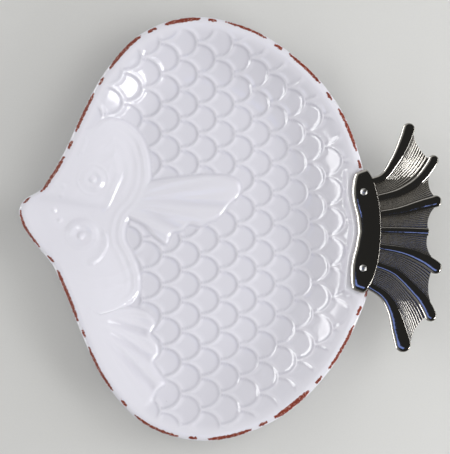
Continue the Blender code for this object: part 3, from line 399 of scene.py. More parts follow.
figure = {
    "fade": 20.0,  # from the plain rim in
    "headRise": 2.6,
    "headEdge": 3.5,
    "faceRise": 5.0,  # fullness of the face
    "faceWidth": 40.0,  # over which it rises from the gill, and from the plain rim
    # folds behind the gill's edge: millimetres from it, rise, half width
    "gillFolds": ((4.6, 0.45, 3.0), (10.6, 0.40, 3.4)),
    "gillFade": (30.0, 30.0),  # where they begin, in from the rim, and the width over which they rise
    "browFolds": ((18.5, 0.45, 4.4), (27.8, 0.45, 4.4)),  # the same, only on the upper half of the head
    "browFade": (20.0, 20.0),  # where they begin, up from the plate's middle, and over which width
    "cheekMiddle": (-87.6, 0.9),
    "cheekFolds": ((43.0, 0.45, 5.0), (53.0, 0.45, 4.5)),  # radius, rise, half width, only on the lower half
    "cheekFade": (10.0, 20.0),  # where they begin, down from the plate's middle, and over which width
    "finRise": 2.6,
    "finEdge": 3.5,
    "grooveDepth": 1.5,
    "grooveWidth": 5.0,
    "grooveRun": 0.67,  # share of its length over which a groove deepens
    "rayRise": 0.45,
    "rayMiddles": ((-81.0, 22.0), (-98.0, -69.0)),  # from which the rays of each fin spread
    "rayDegrees": (9.0, 9.0),  # between rays
    "rayFade": (15.0, 40.0),  # where the rays begin, out from there, and the width over which they rise
    "edgeShadowAndPool": (0.7, 1.6, 2.0),  # painted shadow just outside the edges, also standing for glaze pooled there: share, distance outside, half width
    # painted shade in the fins' grooves, also standing for pooled glaze
    "grooveShadeAndPool": 0.4,
    # eyes: middle, degrees to the bowl's high side, radius of its floor, rise, widths of its side and of the
    # fall outside it, radius and rise of the dome in it
    "eyes": (
        ((-0.509, 0.234), -11.0, 3.6, 1.15, 3.4, 3.8, 3.4, 1.2),
        ((-0.565, -0.031), 80.0, 5.0, 2.9, 4.6, 6.0, 3.4, 1.9),
    ),
    "eyeRing": (12.8, 0.2, 2.2),  # radius, rise, half width
    "bowlLean": 0.75,  # how much lower the bowl's side is opposite its high side
    "bowlSpread": 0.3,  # how much the high side spreads round the bowl
    # strokes: points, rise, width of the side left of the way along, and of the other
    "strokes": (
        (((-68.0, 45.1), (-73.5, 33.0), (-79.9, 18.7)), 0.85, 2.3, 7.0),
        (((-81.6, -5.1), (-80.8, -9.4), (-82.5, -17.9), (-86.7, -24.7), (-91.8, -28.9)), 1.1, 2.6, 6.0),
        (((-98.0, -65.0), (-91.0, -69.6), (-84.2, -72.3)), 0.8, 1.9, 3.0),
        (((-97.8, 75.6), (-101.2, 66.3)), 2.6, 2.9, 6.0),
    ),
    "bumps": ((-116.5, 36.6), (-118.2, 28.9), (-125.0, 16.0), (-119.9, 7.7)),  # on the snout
    "bumpRise": 0.95,
    "bumpRadius": 3.2,
    "gill": (
        (-0.640, 0.390), (-0.527, 0.452), (-0.433, 0.523), (-0.358, 0.509), (-0.292, 0.452), (-0.254, 0.363),
        (-0.245, 0.231), (-0.292, 0.113), (-0.353, 0.038), (-0.365, -0.043), (-0.325, -0.127),
        (-0.292, -0.235), (-0.297, -0.301), (-0.367, -0.372), (-0.471, -0.400), (-0.537, -0.363),
        (-0.640, -0.330),
    ),
    "faceBack": ((-1.2, -0.33), (-1.2, 0.39)),
    "pectoralFin": (
        (-0.386, 0.071), (-0.330, 0.160), (-0.245, 0.222), (-0.188, 0.231), (-0.061, 0.247), (0.071, 0.254),
        (0.141, 0.245), (0.184, 0.217), (0.188, 0.193), (0.127, 0.113), (0.060, 0.045), (0.038, 0.038),
        (0.000, 0.019), (-0.057, 0.026), (-0.089, 0.000), (-0.141, -0.017), (-0.167, -0.068),
        (-0.212, -0.038), (-0.268, 0.019), (-0.334, 0.052),
    ),
    "pectoralGrooves": (((-0.330, 0.140), (0.127, 0.113)), ((-0.330, 0.100), (-0.089, 0.000))),
    "pelvicFin": (
        (-0.471, -0.400), (-0.367, -0.372), (-0.308, -0.381), (-0.245, -0.412), (-0.221, -0.447),
        (-0.245, -0.504), (-0.212, -0.556), (-0.207, -0.598), (-0.231, -0.624), (-0.202, -0.688),
        (-0.174, -0.730), (-0.212, -0.763), (-0.231, -0.810), (-0.283, -0.848), (-0.380, -0.900),
        (-0.700, -0.800), (-0.640, -0.330), (-0.537, -0.363),
    ),
    "pelvicGrooves": (
        ((-0.500, -0.410), (-0.245, -0.504)),
        ((-0.500, -0.440), (-0.231, -0.624)),
        ((-0.500, -0.470), (-0.212, -0.763)),
    ),
    "lineSpacing": 2.0,
}


def planLoop(points):
    return smoothPath(np.array(points + points[:1]) * planScale, figure["lineSpacing"])[:-1]


gillLine = smoothPath(np.array(figure["gill"]) * planScale, figure["lineSpacing"])
headLoop = np.concatenate([gillLine, np.array(figure["faceBack"]) * planScale])
finLoops = [planLoop(figure["pectoralFin"]), planLoop(figure["pelvicFin"])]
finGrooves = [np.array(figure[name]) * planScale for name in ("pectoralGrooves", "pelvicGrooves")]
strokeLines = [smoothPath(stroke[0], figure["lineSpacing"]) for stroke in figure["strokes"]]


def eyeRelief(x, y, eye):  # a dome in a leaning bowl
    middle, highSide, floor, rise, side, fall, domeRadius, domeRise = eye
    eyeX, eyeY = np.array(middle) * planScale
    radius = np.hypot(x - eyeX, y - eyeY)
    turn = np.arctan2(y - eyeY, x - eyeX) - math.radians(highSide)
    lean = between(1.0 - figure["bowlLean"], 1.0, smooth(np.cos(turn) + figure["bowlSpread"]))
    height = rise * lean * ramp((radius - floor) / side) * (1.0 - ramp((radius - floor - side) / fall))
    ringRadius, ringRise, ringHalf = figure["eyeRing"]
    height = height + ringRise * bump(radius - ringRadius, ringHalf)
    return height + domeRise * np.clip(1.0 - (radius / domeRadius) ** 2, 0.0, 1.0)


def headRelief(x, y):
    inside = insideDistance(headLoop, x, y)
    height = figure["headRise"] * ramp(0.5 + inside / figure["headEdge"])
    _, inward = rimPlace(x, y)
    full = smooth(inside / figure["faceWidth"]) * fadeIn(inward, scales["plainRim"], figure["faceWidth"])
    height = height + figure["faceRise"] * full
    for behind, rise, halfWidth in figure["gillFolds"]:
        height = height + rise * bump(inside - behind, halfWidth) * fadeIn(inward, *figure["gillFade"])
    for behind, rise, halfWidth in figure["browFolds"]:
        height = height + rise * bump(inside - behind, halfWidth) * fadeIn(y, *figure["browFade"])
    cheek = np.hypot(x - figure["cheekMiddle"][0], y - figure["cheekMiddle"][1])
    for radius, rise, halfWidth in figure["cheekFolds"]:
        height = height + rise * bump(cheek - radius, halfWidth) * fadeIn(-y, *figure["cheekFade"])
    for eye in figure["eyes"]:
        height = height + eyeRelief(x, y, eye)
    for line, (_, rise, steep, gentle) in zip(strokeLines, figure["strokes"]):
        off = pathDistance(line, x, y)
        leftSide = np.clip(1.0 - off / steep, 0.0, 1.0)
        height = height + rise * np.where(off > 0, leftSide, smooth(1.0 + off / gentle))
    for bumpX, bumpY in figure["bumps"]:
        height = height + figure["bumpRise"] * bump(np.hypot(x - bumpX, y - bumpY), figure["bumpRadius"])
    return height, inside, np.zeros(np.shape(x))


def finRelief(number, x, y):
    inside = insideDistance(finLoops[number], x, y)
    height = figure["finRise"] * ramp(0.5 + inside / figure["finEdge"])
    within = smooth(inside / figure["finEdge"])
    groove = np.zeros(np.shape(x))
    for line in finGrooves[number]:
        off, along = lineDistance(line, x, y)
        cut = smooth(along / figure["grooveRun"]) * bump(off, figure["grooveWidth"]) * within
        groove = np.maximum(groove, cut)
    height = height - figure["grooveDepth"] * groove
    middleX, middleY = figure["rayMiddles"][number]
    turn = np.arctan2(y - middleY, x - middleX)
    rays = np.cos(2 * math.pi * turn / math.radians(figure["rayDegrees"][number]))
    out = fadeIn(np.hypot(x - middleX, y - middleY), *figure["rayFade"])
    return height + figure["rayRise"] * rays * out * within, inside, groove


# Height of the head and fins, the share left to the scales, and the painted shade round their edges and in
# the fins' grooves, which also stands for pooled glaze
def figureRelief(x, y):
    heights, insides, grooves = zip(headRelief(x, y), finRelief(0, x, y), finRelief(1, x, y))
    inside = np.max(insides, axis=0)
    clear = fadeIn(-inside, scales["clearance"], scales["outerSlope"])
    # painted shadow round the edges and painted shade in the grooves, partly pooled glaze
    share, outside, halfWidth = figure["edgeShadowAndPool"]
    pooledShade = share * bump(inside + outside, halfWidth)
    hollow = np.maximum(pooledShade, figure["grooveShadeAndPool"] * np.max(grooves, axis=0))
    return np.max(heights, axis=0), clear, hollow


def topHeight(x, y):
    _, inward = rimPlace(x, y)
    rise, clear, _ = figureRelief(x, y)
    seat = seatShare(x, y)
    relief = rise * fadeIn(inward, scales["plainRim"], figure["fade"])
    relief = relief + clear * scaleRidges(x, y) * fadeIn(inward, scales["plainRim"], scales["fade"])
    height = between(wallHeight(inward) + relief, seatHeight, seat)
    return height - plate["lipDrop"] * lipRoll(inward)


def footShare(x, y):
    radius = np.hypot(x, y)
    ring = radius / np.maximum(np.hypot(2 * x / plate["footLength"], 2 * y / plate["footWidth"]), tiny)
    return np.clip(1.0 - (np.abs(radius - ring) - plate["footRing"] / 2) / plate["footDraft"], 0.0, 1.0)


def underHeight(x, y):
    _, inward = rimPlace(x, y)
    wall = wallHeight(inward) - wallDepth(inward)
    plain = between(wall, seatHeight - plate["wallThickness"], seatShare(x, y))
    return plain + (plate["wallThickness"] - plate["lipDrop"]) * lipRoll(inward)


# Colours and nodes

def linearColour(hexColour):  # sRGB hex to linear red, green, blue and alpha
    parts = [int(hexColour[i:i + 2], 16) / 255 for i in (0, 2, 4)]
    return [part / 12.92 if part <= 0.04045 else ((part + 0.055) / 1.055) ** 2.4 for part in parts] + [1.0]


def addNode(tree, kind, values=None, links=None, **settings):
    node = tree.nodes.new("ShaderNode" + kind)
    for name, value in settings.items():
        setattr(node, name, value)
    for name, value in (values or {}).items():
        node.inputs[name].default_value = value
    for name, socket in (links or {}).items():
        tree.links.new(socket, node.inputs[name])
    return node


def newMaterial(name):  # an empty one, its node tree, and the place that its patterns are laid out by
    material = bpy.data.materials.new(name)
    material.use_nodes = True
    tree = material.node_tree
    tree.nodes.clear()
    return material, tree, addNode(tree, "TexCoord").outputs["Object"]


def perMm(size):  # scale of a pattern whose features are this many millimetres across
    return 1.0 / (size * mm)


# Tin-white glaze over red earthenware: glassy and faintly lilac, with a darker tint painted where the hollow
# attribute is high, partly for glaze pooled in the hollows and partly as painted shade;
# where it is rubbed off the rim, the clay shows matt and brown, with a veil of glaze left on it.
glaze = {
    "colour": "E4E3EB",
    # darker tint: glaze pooled in the hollows, and painted shade there
    "pooledShade": "CECDD7",
    "clay": "8E2E0A",
    "clayDark": "661D05",
    "veil": "B48C82",
    "roughness": 0.10,
    "clayRoughness": 0.78,
    "ragged": 2.4,  # grain of the marks' edges
    "raggedReach": 1.6,  # how far it moves them in and out at most
    "edge": 0.25,  # half the width over which a mark sets in
    "shades": 14.0,  # stretches of darker and lighter clay
    "flecks": 1.6,  # spots of glaze left on the clay
    "fleckRange": (0.53, 0.68),  # of the noise that makes them, from bare clay to full veil
    "peel": 5.0,  # waviness of the glaze
    "grain": 0.9,  # grit of the clay, as coarse as it needs to show
    "reliefUnit": 0.1,  # in which the next two are counted
    "peelDepth": 0.10,
    "clayStep": 2.0,  # how far the clay lies below the glaze
}


def glazeMaterial():
    material, tree, place = newMaterial("tin-white glazed earthenware")
    wear = addNode(tree, "Attribute", attribute_name="wear").outputs["Fac"]
    # hollow: painted shade, standing partly for pooled glaze, that darkens the glaze
    hollow = addNode(tree, "Attribute", attribute_name="hollow").outputs["Fac"]
    ragged = addNode(tree, "TexNoise", {"Scale": perMm(glaze["ragged"]), "Detail": 4.0, "Roughness": 0.65},
                     {"Vector": place}).outputs["Fac"]
    stretch = addNode(tree, "Math", {1: 2 * glaze["raggedReach"], 2: -glaze["raggedReach"]}, {0: ragged},
                      operation="MULTIPLY_ADD").outputs[0]
    edge = addNode(tree, "Math", links={0: wear, 1: stretch}, operation="ADD").outputs[0]
    bare = addNode(tree, "MapRange", {"From Min": glaze["edge"], "From Max": -glaze["edge"]},
                   {"Value": edge}).outputs["Result"]
    # painted shade: the glaze colour darkened towards the pooled tint where hollow is high
    shadeTint = addNode(tree, "Mix", {"A": linearColour(glaze["colour"]), "B": linearColour(glaze["pooledShade"])},
                   {"Factor": hollow}, data_type="RGBA")
    flecks = addNode(tree, "TexNoise", {"Scale": perMm(glaze["flecks"]), "Detail": 3.0},
                     {"Vector": place}).outputs["Fac"]
    bareEnd, veilEnd = glaze["fleckRange"]
    veiled = addNode(tree, "MapRange", {"From Min": bareEnd, "From Max": veilEnd},
                     {"Value": flecks}).outputs["Result"]
    shades = addNode(tree, "TexNoise", {"Scale": perMm(glaze["shades"]), "Detail": 2.0},
                     {"Vector": place}).outputs["Fac"]
    clay = addNode(tree, "Mix", {"A": linearColour(glaze["clayDark"]), "B": linearColour(glaze["clay"])},
                   {"Factor": shades}, data_type="RGBA")
    veil = addNode(tree, "Mix", {"B": linearColour(glaze["veil"])},
                   {"Factor": veiled, "A": clay.outputs["Result"]}, data_type="RGBA")
    colour = addNode(tree, "Mix", data_type="RGBA",
                     links={"Factor": bare, "A": shadeTint.outputs["Result"], "B": veil.outputs["Result"]})
    rough = addNode(tree, "MapRange", {"To Min": glaze["roughness"], "To Max": glaze["clayRoughness"]},
                    {"Value": bare}).outputs["Result"]
    peel = addNode(tree, "TexNoise", {"Scale": perMm(glaze["peel"]), "Detail": 1.0},
                   {"Vector": place}).outputs["Fac"]
    grit = addNode(tree, "TexNoise", {"Scale": perMm(glaze["grain"]), "Detail": 3.0},
                   {"Vector": place}).outputs["Fac"]
    gritty = addNode(tree, "Math", links={0: grit, 1: bare}, operation="MULTIPLY").outputs[0]
    step = addNode(tree, "Math", {1: -glaze["clayStep"]}, {0: bare, 2: gritty},
                   operation="MULTIPLY_ADD").outputs[0]
    level = addNode(tree, "Math", {1: glaze["peelDepth"]}, {0: peel, 2: step},
                    operation="MULTIPLY_ADD").outputs[0]
    relief = addNode(tree, "Bump", {"Strength": 0.5, "Distance": glaze["reliefUnit"] * mm},
                     {"Height": level}).outputs["Normal"]
    shader = addNode(tree, "BsdfPrincipled", {"IOR": 1.52},
                     {"Base Color": colour.outputs["Result"], "Roughness": rough, "Normal": relief})
    addNode(tree, "OutputMaterial", links={"Surface": shader.outputs["BSDF"]})
    return material


# Cast aluminium, buffed to a mirror on the high parts: it takes the colour of what is above it,
# with faint casting waves and a dull brown film left in the grooves.
castMetal = {
    "colour": "B9B6B0",
    "film": "7F776B",
    "roughness": 0.10,
    "filmRoughness": 0.38,
    "filmMetallic": 0.4,  # what shows of the metal through the film
    "filmFull": 0.6,  # blotch from which the film counts as whole
    "blotches": 6.0,  # in the film
    "waves": 6.0,  # of the cast surface
    "waveDepth": 0.3,
}


def castMetalMaterial():
    material, tree, place = newMaterial("polished cast aluminium")
    film = addNode(tree, "Attribute", attribute_name="film").outputs["Fac"]
    blotch = addNode(tree, "TexNoise", {"Scale": perMm(castMetal["blotches"]), "Detail": 3.0},
                     {"Vector": place}).outputs["Fac"]
    stain = addNode(tree, "Math", links={0: film, 1: blotch}, operation="MULTIPLY",
                    use_clamp=True).outputs[0]
    dull = addNode(tree, "MapRange", {"From Max": castMetal["filmFull"]}, {"Value": stain}).outputs["Result"]
    bare, filmed = linearColour(castMetal["colour"]), linearColour(castMetal["film"])
    colour = addNode(tree, "Mix", {"A": bare, "B": filmed}, {"Factor": dull}, data_type="RGBA")
    rough = addNode(tree, "MapRange", links={"Value": dull},
                    values={"To Min": castMetal["roughness"], "To Max": castMetal["filmRoughness"]})
    waves = addNode(tree, "TexNoise", {"Scale": perMm(castMetal["waves"]), "Detail": 1.0},
                    {"Vector": place}).outputs["Fac"]
    relief = addNode(tree, "Bump", {"Strength": 0.5, "Distance": castMetal["waveDepth"] * mm},
                     {"Height": waves}).outputs["Normal"]
    bright = addNode(tree, "MapRange", {"To Min": 1.0, "To Max": castMetal["filmMetallic"]}, {"Value": dull})
    shader = addNode(tree, "BsdfPrincipled", links={
        "Base Color": colour.outputs["Result"], "Metallic": bright.outputs["Result"],
        "Roughness": rough.outputs["Result"], "Normal": relief})
    addNode(tree, "OutputMaterial", links={"Surface": shader.outputs["BSDF"]})
    return material


# Bright-plated steel: a clean mirror, a touch cooler than the casting, with fine turning marks.
plating = {"colour": "E2E2E0", "roughness": 0.24, "marksRoughness": 0.528, "marks": 0.4}


def platingMaterial():
    material, tree, place = newMaterial("bright plated steel")
    marks = addNode(tree, "TexNoise", {"Scale": perMm(plating["marks"]), "Detail": 2.0},
                    {"Vector": place}).outputs["Fac"]
    rough = addNode(tree, "MapRange", {"To Min": plating["roughness"], "To Max": plating["marksRoughness"]},
                    {"Value": marks}).outputs["Result"]
    shader = addNode(tree, "BsdfPrincipled", links={"Roughness": rough},
                     values={"Metallic": 1.0, "Base Color": linearColour(plating["colour"])})
    addNode(tree, "OutputMaterial", links={"Surface": shader.outputs["BSDF"]})
    return material


# Grey sheet rubber: matt, with a fine moulded grain.
rubber = {"colour": "56575A", "worn": "66676A", "roughness": 0.8, "grain": 0.7, "grainDepth": 0.1}


def rubberMaterial():
    material, tree, place = newMaterial("grey sheet rubber")
    grain = addNode(tree, "TexNoise", {"Scale": perMm(rubber["grain"]), "Detail": 3.0},
                    {"Vector": place}).outputs["Fac"]
    colour = addNode(tree, "Mix", {"A": linearColour(rubber["colour"]), "B": linearColour(rubber["worn"])},
                     {"Factor": grain}, data_type="RGBA")
    relief = addNode(tree, "Bump", {"Strength": 0.4, "Distance": rubber["grainDepth"] * mm},
                     {"Height": grain}).outputs["Normal"]
    shader = addNode(tree, "BsdfPrincipled", {"Roughness": rubber["roughness"]},
                     {"Base Color": colour.outputs["Result"], "Normal": relief})
    addNode(tree, "OutputMaterial", links={"Surface": shader.outputs["BSDF"]})
    return material


# Pieces

cadMerge = 0.01  # corners of a solid's loose triangles that are this close are joined


def meshObject(name, bm):
    mesh = bpy.data.meshes.new(name)
    bm.to_mesh(mesh)
    bm.free()
    return bpy.data.objects.new(name, mesh)


def makePiece(name, bm, material, node, sharpDegrees=40.0):
    piece = meshObject(name, bm)
    piece.data.materials.append(material)
    piece.data.shade_smooth()
    piece.data.set_sharp_from_angle(angle=math.radians(sharpDegrees))
    bpy.context.scene.collection.objects.link(piece)
    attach(piece, "root")
    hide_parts(node)
    return piece


def mergedCopy(node):
    bm = bmesh.new()
    bm.from_mesh(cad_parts[node].data)
    bmesh.ops.remove_doubles(bm, verts=bm.verts, dist=cadMerge * mm)
    return bm


def setAttribute(mesh, name, values):
    attribute = mesh.attributes.new(name, "FLOAT", "POINT")
    attribute.data.foreach_set("value", np.asarray(values, np.float32))


# Marks where the glaze is rubbed off the rim, long ones with a short one in each gap
rimMarks = {
    "long": (  # degrees from the tail, start and end, and half width; the first lies under the metal band
        (17.5, -22.5, 1.2), (328, 312.5, 1.3), (304, 291.5, 2.2), (284.5, 272, 1.4), (264, 250.5, 1.2),
        (242, 226.5, 1.3), (217, 196, 1.4), (186.5, 174, 1.3), (167, 152, 1.5), (142, 128, 1.5),
        (119.5, 107, 1.7), (100, 90, 1.8), (83, 70.5, 1.1), (63, 50.5, 1.3), (41, 26.5, 1.4),
    ),
    "shortLength": 8.0,
    "shortHalf": 1.9,
    "taper": 8.0,  # over which a mark narrows to its ends
    "endShare": 0.55,  # of its width, left there
    "clear": 0.3,  # white lip left outside the marks
    "far": 20.0,  # counts as nowhere near a mark
}


def rimLength(degrees):
    return np.interp((math.radians(degrees) + math.pi) % (2 * math.pi) - math.pi, roundAngles, roundLengths)


def markSpans():
    spans = []
    ends = rimMarks["long"]
    reach = rimMarks["shortLength"] / 2
    for (start, end, half), (nextStart, _, _) in zip(ends, ends[1:] + ends[:1]):
        gap = rimLength((end + nextStart) / 2 if abs(end - nextStart) < 180 else (end + nextStart + 360) / 2)
        spans.append((rimLength(end), rimLength(start), half))
        spans.append((gap - reach, gap + reach, rimMarks["shortHalf"]))
    return spans


def markDistance(angle, inward):  # millimetres outside the nearest mark, negative within it
    around = roundLengths[-1]
    length = np.interp(angle, roundAngles, roundLengths)
    nearest = np.full(np.shape(angle), rimMarks["far"])
    for low, high, half in markSpans():
        middle, reach = (low + high) / 2, (high - low) / 2
        if low > high:  # the stretch that runs over the start of the count
            middle, reach = middle + around / 2, reach + around / 2
        along = np.abs((length - middle + around / 2) % around - around / 2) - reach
        tapered = half * between(rimMarks["endShare"], 1.0, smooth(-along / rimMarks["taper"]))
        across = np.abs(inward - rimMarks["clear"] - half) - tapered
        nearest = np.minimum(nearest, np.maximum(along, across))
    return nearest


dish = {
    "facing": 0.02,  # how far a face's normal rises on the top, and falls on the underside
    "topCuts": 1,
    "underCuts": 1,
    "refining": 4,  # times that long edges are halved
    "headBox": ((-125.0, -60.0), (-75.0, 80.0)),  # the face, along and across
    "headSpacing": 1.0,  # longest edges left there, and on the rest of the top
    "topSpacing": 2.3,
    "foldRounds": 4,  # tries at finding the points that have to stay
    "foldLimit": 0.002,  # twice the least area in plan that is left to a face, in square millimetres
    "footHeight": 0.05,  # up to which the foot is bare clay
    "footWear": -1.0,  # it counts as this far from a mark, so within one
}


def upperFaces(bm):
    return [face for face in bm.faces if face.normal.z > dish["facing"]]


def underFaces(bm):
    return [face for face in bm.faces if face.normal.z < -dish["facing"]]


def edgesOf(faces):
    return {edge for face in faces for edge in face.edges}


def cornersOf(faces):
    return np.array([[vert.index for vert in face.verts] for face in faces])


def trianglesOnly(bm):
    bmesh.ops.triangulate(bm, faces=[face for face in bm.faces if len(face.verts) > 3])
    bm.normal_update()


def halveLongEdges(bm):
    edges = list(edgesOf(upperFaces(bm)))
    ends = np.array([[vert.co for vert in edge.verts] for edge in edges]) / mm
    x, y = (ends.mean(axis=1)[:, :2] - plateMiddle).T
    (left, right), (front, back) = dish["headBox"]
    onHead = (x > left) & (x < right) & (y > front) & (y < back)
    spacing = np.where(onHead, dish["headSpacing"], dish["topSpacing"])
    tooLong = np.linalg.norm(ends[:, 1] - ends[:, 0], axis=1) > spacing
    bmesh.ops.subdivide_edges(bm, edges=[edges[i] for i in np.flatnonzero(tooLong)], cuts=1)
    trianglesOnly(bm)


def dishPiece(material):
    bm = mergedCopy("dish")
    top = edgesOf(upperFaces(bm))
    bmesh.ops.subdivide_edges(bm, edges=list(top), cuts=dish["topCuts"], use_grid_fill=True)
    bm.normal_update()
    under = edgesOf(underFaces(bm)) - edgesOf(upperFaces(bm))
    bmesh.ops.subdivide_edges(bm, edges=list(under), cuts=dish["underCuts"], use_grid_fill=True)
    trianglesOnly(bm)
    for _ in range(dish["refining"]):
        halveLongEdges(bm)
    isTop = np.zeros(len(bm.verts), bool)
    isUnder = np.zeros(len(bm.verts), bool)
    bm.verts.index_update()
    corners = cornersOf(upperFaces(bm))
    isTop[corners] = True
    isUnder[cornersOf(underFaces(bm))] = True
    points = np.array([vert.co for vert in bm.verts]) / mm
    x, y = (points[:, :2] - plateMiddle).T
    angle, inward = rimPlace(x, y)
    _, clear, hollow = figureRelief(x, y)
    share = clear * fadeIn(inward, scales["plainRim"], scales["fade"]) * (1.0 - seatShare(x, y))
    movedX, movedY = roundArcs(x, y, share)
    moves = isTop.copy()
    for _ in range(dish["foldRounds"]):  # a point stays where moving it would fold a face over
        nowX, nowY = np.where(moves, movedX, x), np.where(moves, movedY, y)
        sideX, sideY = (now[corners[:, 1:]] - now[corners[:, :1]] for now in (nowX, nowY))
        kept = (sideX[:, 0] * sideY[:, 1] - sideX[:, 1] * sideY[:, 0]) > dish["foldLimit"]
        moves[corners[~kept]] = False
    x, y = nowX, nowY
    height = topHeight(x, y)
    plainUnder = isUnder & ~isTop & (footShare(x, y) <= 0.0)
    z = np.where(isTop, height, np.where(plainUnder, underHeight(x, y), points[:, 2]))
    for vert, place in zip(bm.verts, toWorld(np.stack([x, y], axis=-1), z)):
        vert.co = place
    piece = makePiece("dish_glazed", bm, material, "dish")
    wear = np.where(isTop, markDistance(angle, inward), rimMarks["far"])
    onFoot = isUnder & (points[:, 2] < dish["footHeight"])
    setAttribute(piece.data, "wear", np.where(onFoot, np.minimum(wear, dish["footWear"]), wear))
    # hollow attribute: painted shade round the figure and in the scales, standing partly for pooled glaze
    hollow = hollow * fadeIn(inward, scales["plainRim"], figure["fade"])
    hollow = np.maximum(share * scaleShadeAndPooling(x, y), hollow)
    setAttribute(piece.data, "hollow", np.where(isTop, hollow, 0.0))
    print("dish:", len(piece.data.polygons), "faces")
    return piece


def patch(bm, columns, rows, place):  # a grid laid out by place(u, v), with u and v from 0 to 1
    verts = bmesh.ops.create_grid(bm, x_segments=columns, y_segments=rows, size=1.0)["verts"]
    flat = np.array([vert.co[:2] for vert in verts]) / 2 + 0.5
    for vert, point in zip(verts, place(flat[:, 0], flat[:, 1])):
        vert.co = point


def fanUnderside(plan):
    _, inward = rimPlace(plan[:, 0], plan[:, 1])
    beyond = np.maximum(-inward / tail["fanCurlLength"], 0.0)
    return bandBase + tail["fanLift"] + tail["fanCurl"] * beyond**2


def ribLines():
    for number, (root, tipWidth, tipRound, points) in enumerate(tail["ribs"]):
        along = root * tail["bandLength"]
        angle = np.array(tail["angle"] + along / tailRadius)
        edge = rimPoint(angle, bandOverhang(along))
        start = rimPoint(angle, bandOverhang(along) - tail["fanLap"])
        path = smoothPath(np.concatenate([[start], edge + points]), tail["ribSpacing"])
        ways = np.gradient(path, axis=0)
        across = np.stack([-ways[:, 1], ways[:, 0]], axis=-1) / np.linalg.norm(ways, axis=-1, keepdims=True)
        lengths = lengthsAlong(path)
        shoulder = lengths[-1] - tipRound * tipWidth / 2
        halves = between(tail["ribRootWidth"], tipWidth, smooth(lengths / shoulder)) / 2
        setbacks = tail["webSetbacks"]
        below = setbacks[min(number, len(setbacks) - 1)][0]
        above = setbacks[max(number - 1, 0)][1]
        yield {"path": path, "across": across * halves[:, None], "lengths": lengths, "shoulder": shoulder,
               "below": lengths[-1] - below, "above": lengths[-1] - above}


def besideRib(rib, side, at):  # plan points beside a rib's middle line, in half widths
    middle = [np.interp(at, rib["lengths"], rib["path"][:, i]) for i in (0, 1)]
    ways = [np.interp(at, rib["lengths"], rib["across"][:, i]) for i in (0, 1)]
    return np.stack(middle, axis=-1) + np.stack(ways, axis=-1) * np.asarray(side)[..., None]


def ribPatch(bm, rib):
    shoulder = rib["shoulder"]
    reach = rib["lengths"][-1] - shoulder

    def place(u, v):
        side = -np.cos(math.pi * u)
        row = v * tail["ribRows"]
        webEnd = between(rib["below"], rib["above"], (1.0 + side) / 2)
        tip = shoulder + reach * np.sqrt(np.clip(1.0 - side**2, 0.0, 1.0))
        past = (row - tail["webRows"]) / (tail["ribRows"] - tail["webRows"])
        at = np.where(past <= 0.0, webEnd * row / tail["webRows"], between(webEnd, tip, past))
        plan = besideRib(rib, side, at)
        beyond = np.clip((at - shoulder) / reach, 0.0, 1.0)
        crown = np.sqrt(np.clip(1.0 - side**2 - beyond**2, 0.0, 1.0))
        return toWorld(plan, fanUnderside(plan) + tail["fanThickness"] + tail["ribRise"] * crown)

    patch(bm, tail["ribColumns"], tail["ribRows"], place)


def webPatch(bm, upper, lower):
    def place(u, v):
        first = besideRib(upper, np.full(len(v), -1.0), v * upper["below"])
        second = besideRib(lower, np.full(len(v), 1.0), v * lower["above"])
        way = second - first
        width = np.linalg.norm(way, axis=-1)
        inwards = np.stack([way[:, 1], -way[:, 0]], axis=-1) / width[:, None]
        hollow = tail["webSag"] * 4 * u * (1.0 - u) * v**2
        plan = between(first, second, u[:, None]) + inwards * hollow[:, None]
        depth = np.minimum(tail["grooveDepth"], tail["grooveShare"] * width / tail["webGrooves"])
        ridge = depth * np.abs(np.sin(math.pi * tail["webGrooves"] * u))
        return toWorld(plan, fanUnderside(plan) + tail["fanThickness"] + ridge)

    patch(bm, tail["webGrooves"] * tail["grooveColumns"], tail["webRows"], place)


def fanMesh():
    bm = bmesh.new()
    ribs = list(ribLines())
    for rib in ribs:
        ribPatch(bm, rib)
    for upper, lower in zip(ribs, ribs[1:]):
        webPatch(bm, upper, lower)
    bmesh.ops.remove_doubles(bm, verts=bm.verts, dist=tail["merge"] * mm)
    made = bmesh.ops.extrude_face_region(bm, geom=bm.faces[:])
    lowered = [item for item in made["geom"] if isinstance(item, bmesh.types.BMVert)]
    plan = np.array([vert.co[:2] for vert in lowered]) / mm - plateMiddle
    for vert, z in zip(lowered, fanUnderside(plan)):
        vert.co.z = z * mm
    bmesh.ops.recalc_face_normals(bm, faces=bm.faces)
    return bm


def squaredOff(wave):  # makes the circle of a sine and cosine an oblong with round corners
    return np.sign(wave) * np.abs(wave) ** (2.0 / tail["bandCorner"])


def bandPoints(turn, inner, outer):  # plan of the band, drawn in by its roll
    along = (tail["bandLength"] / 2 - inner) * squaredOff(np.cos(turn))
    across = (1.0 + squaredOff(np.sin(turn))) / 2
    outward = between(inner - bandReach(along), bandOverhang(along) - outer, across)
    return rimPoint(tail["angle"] + along / tailRadius, outward)


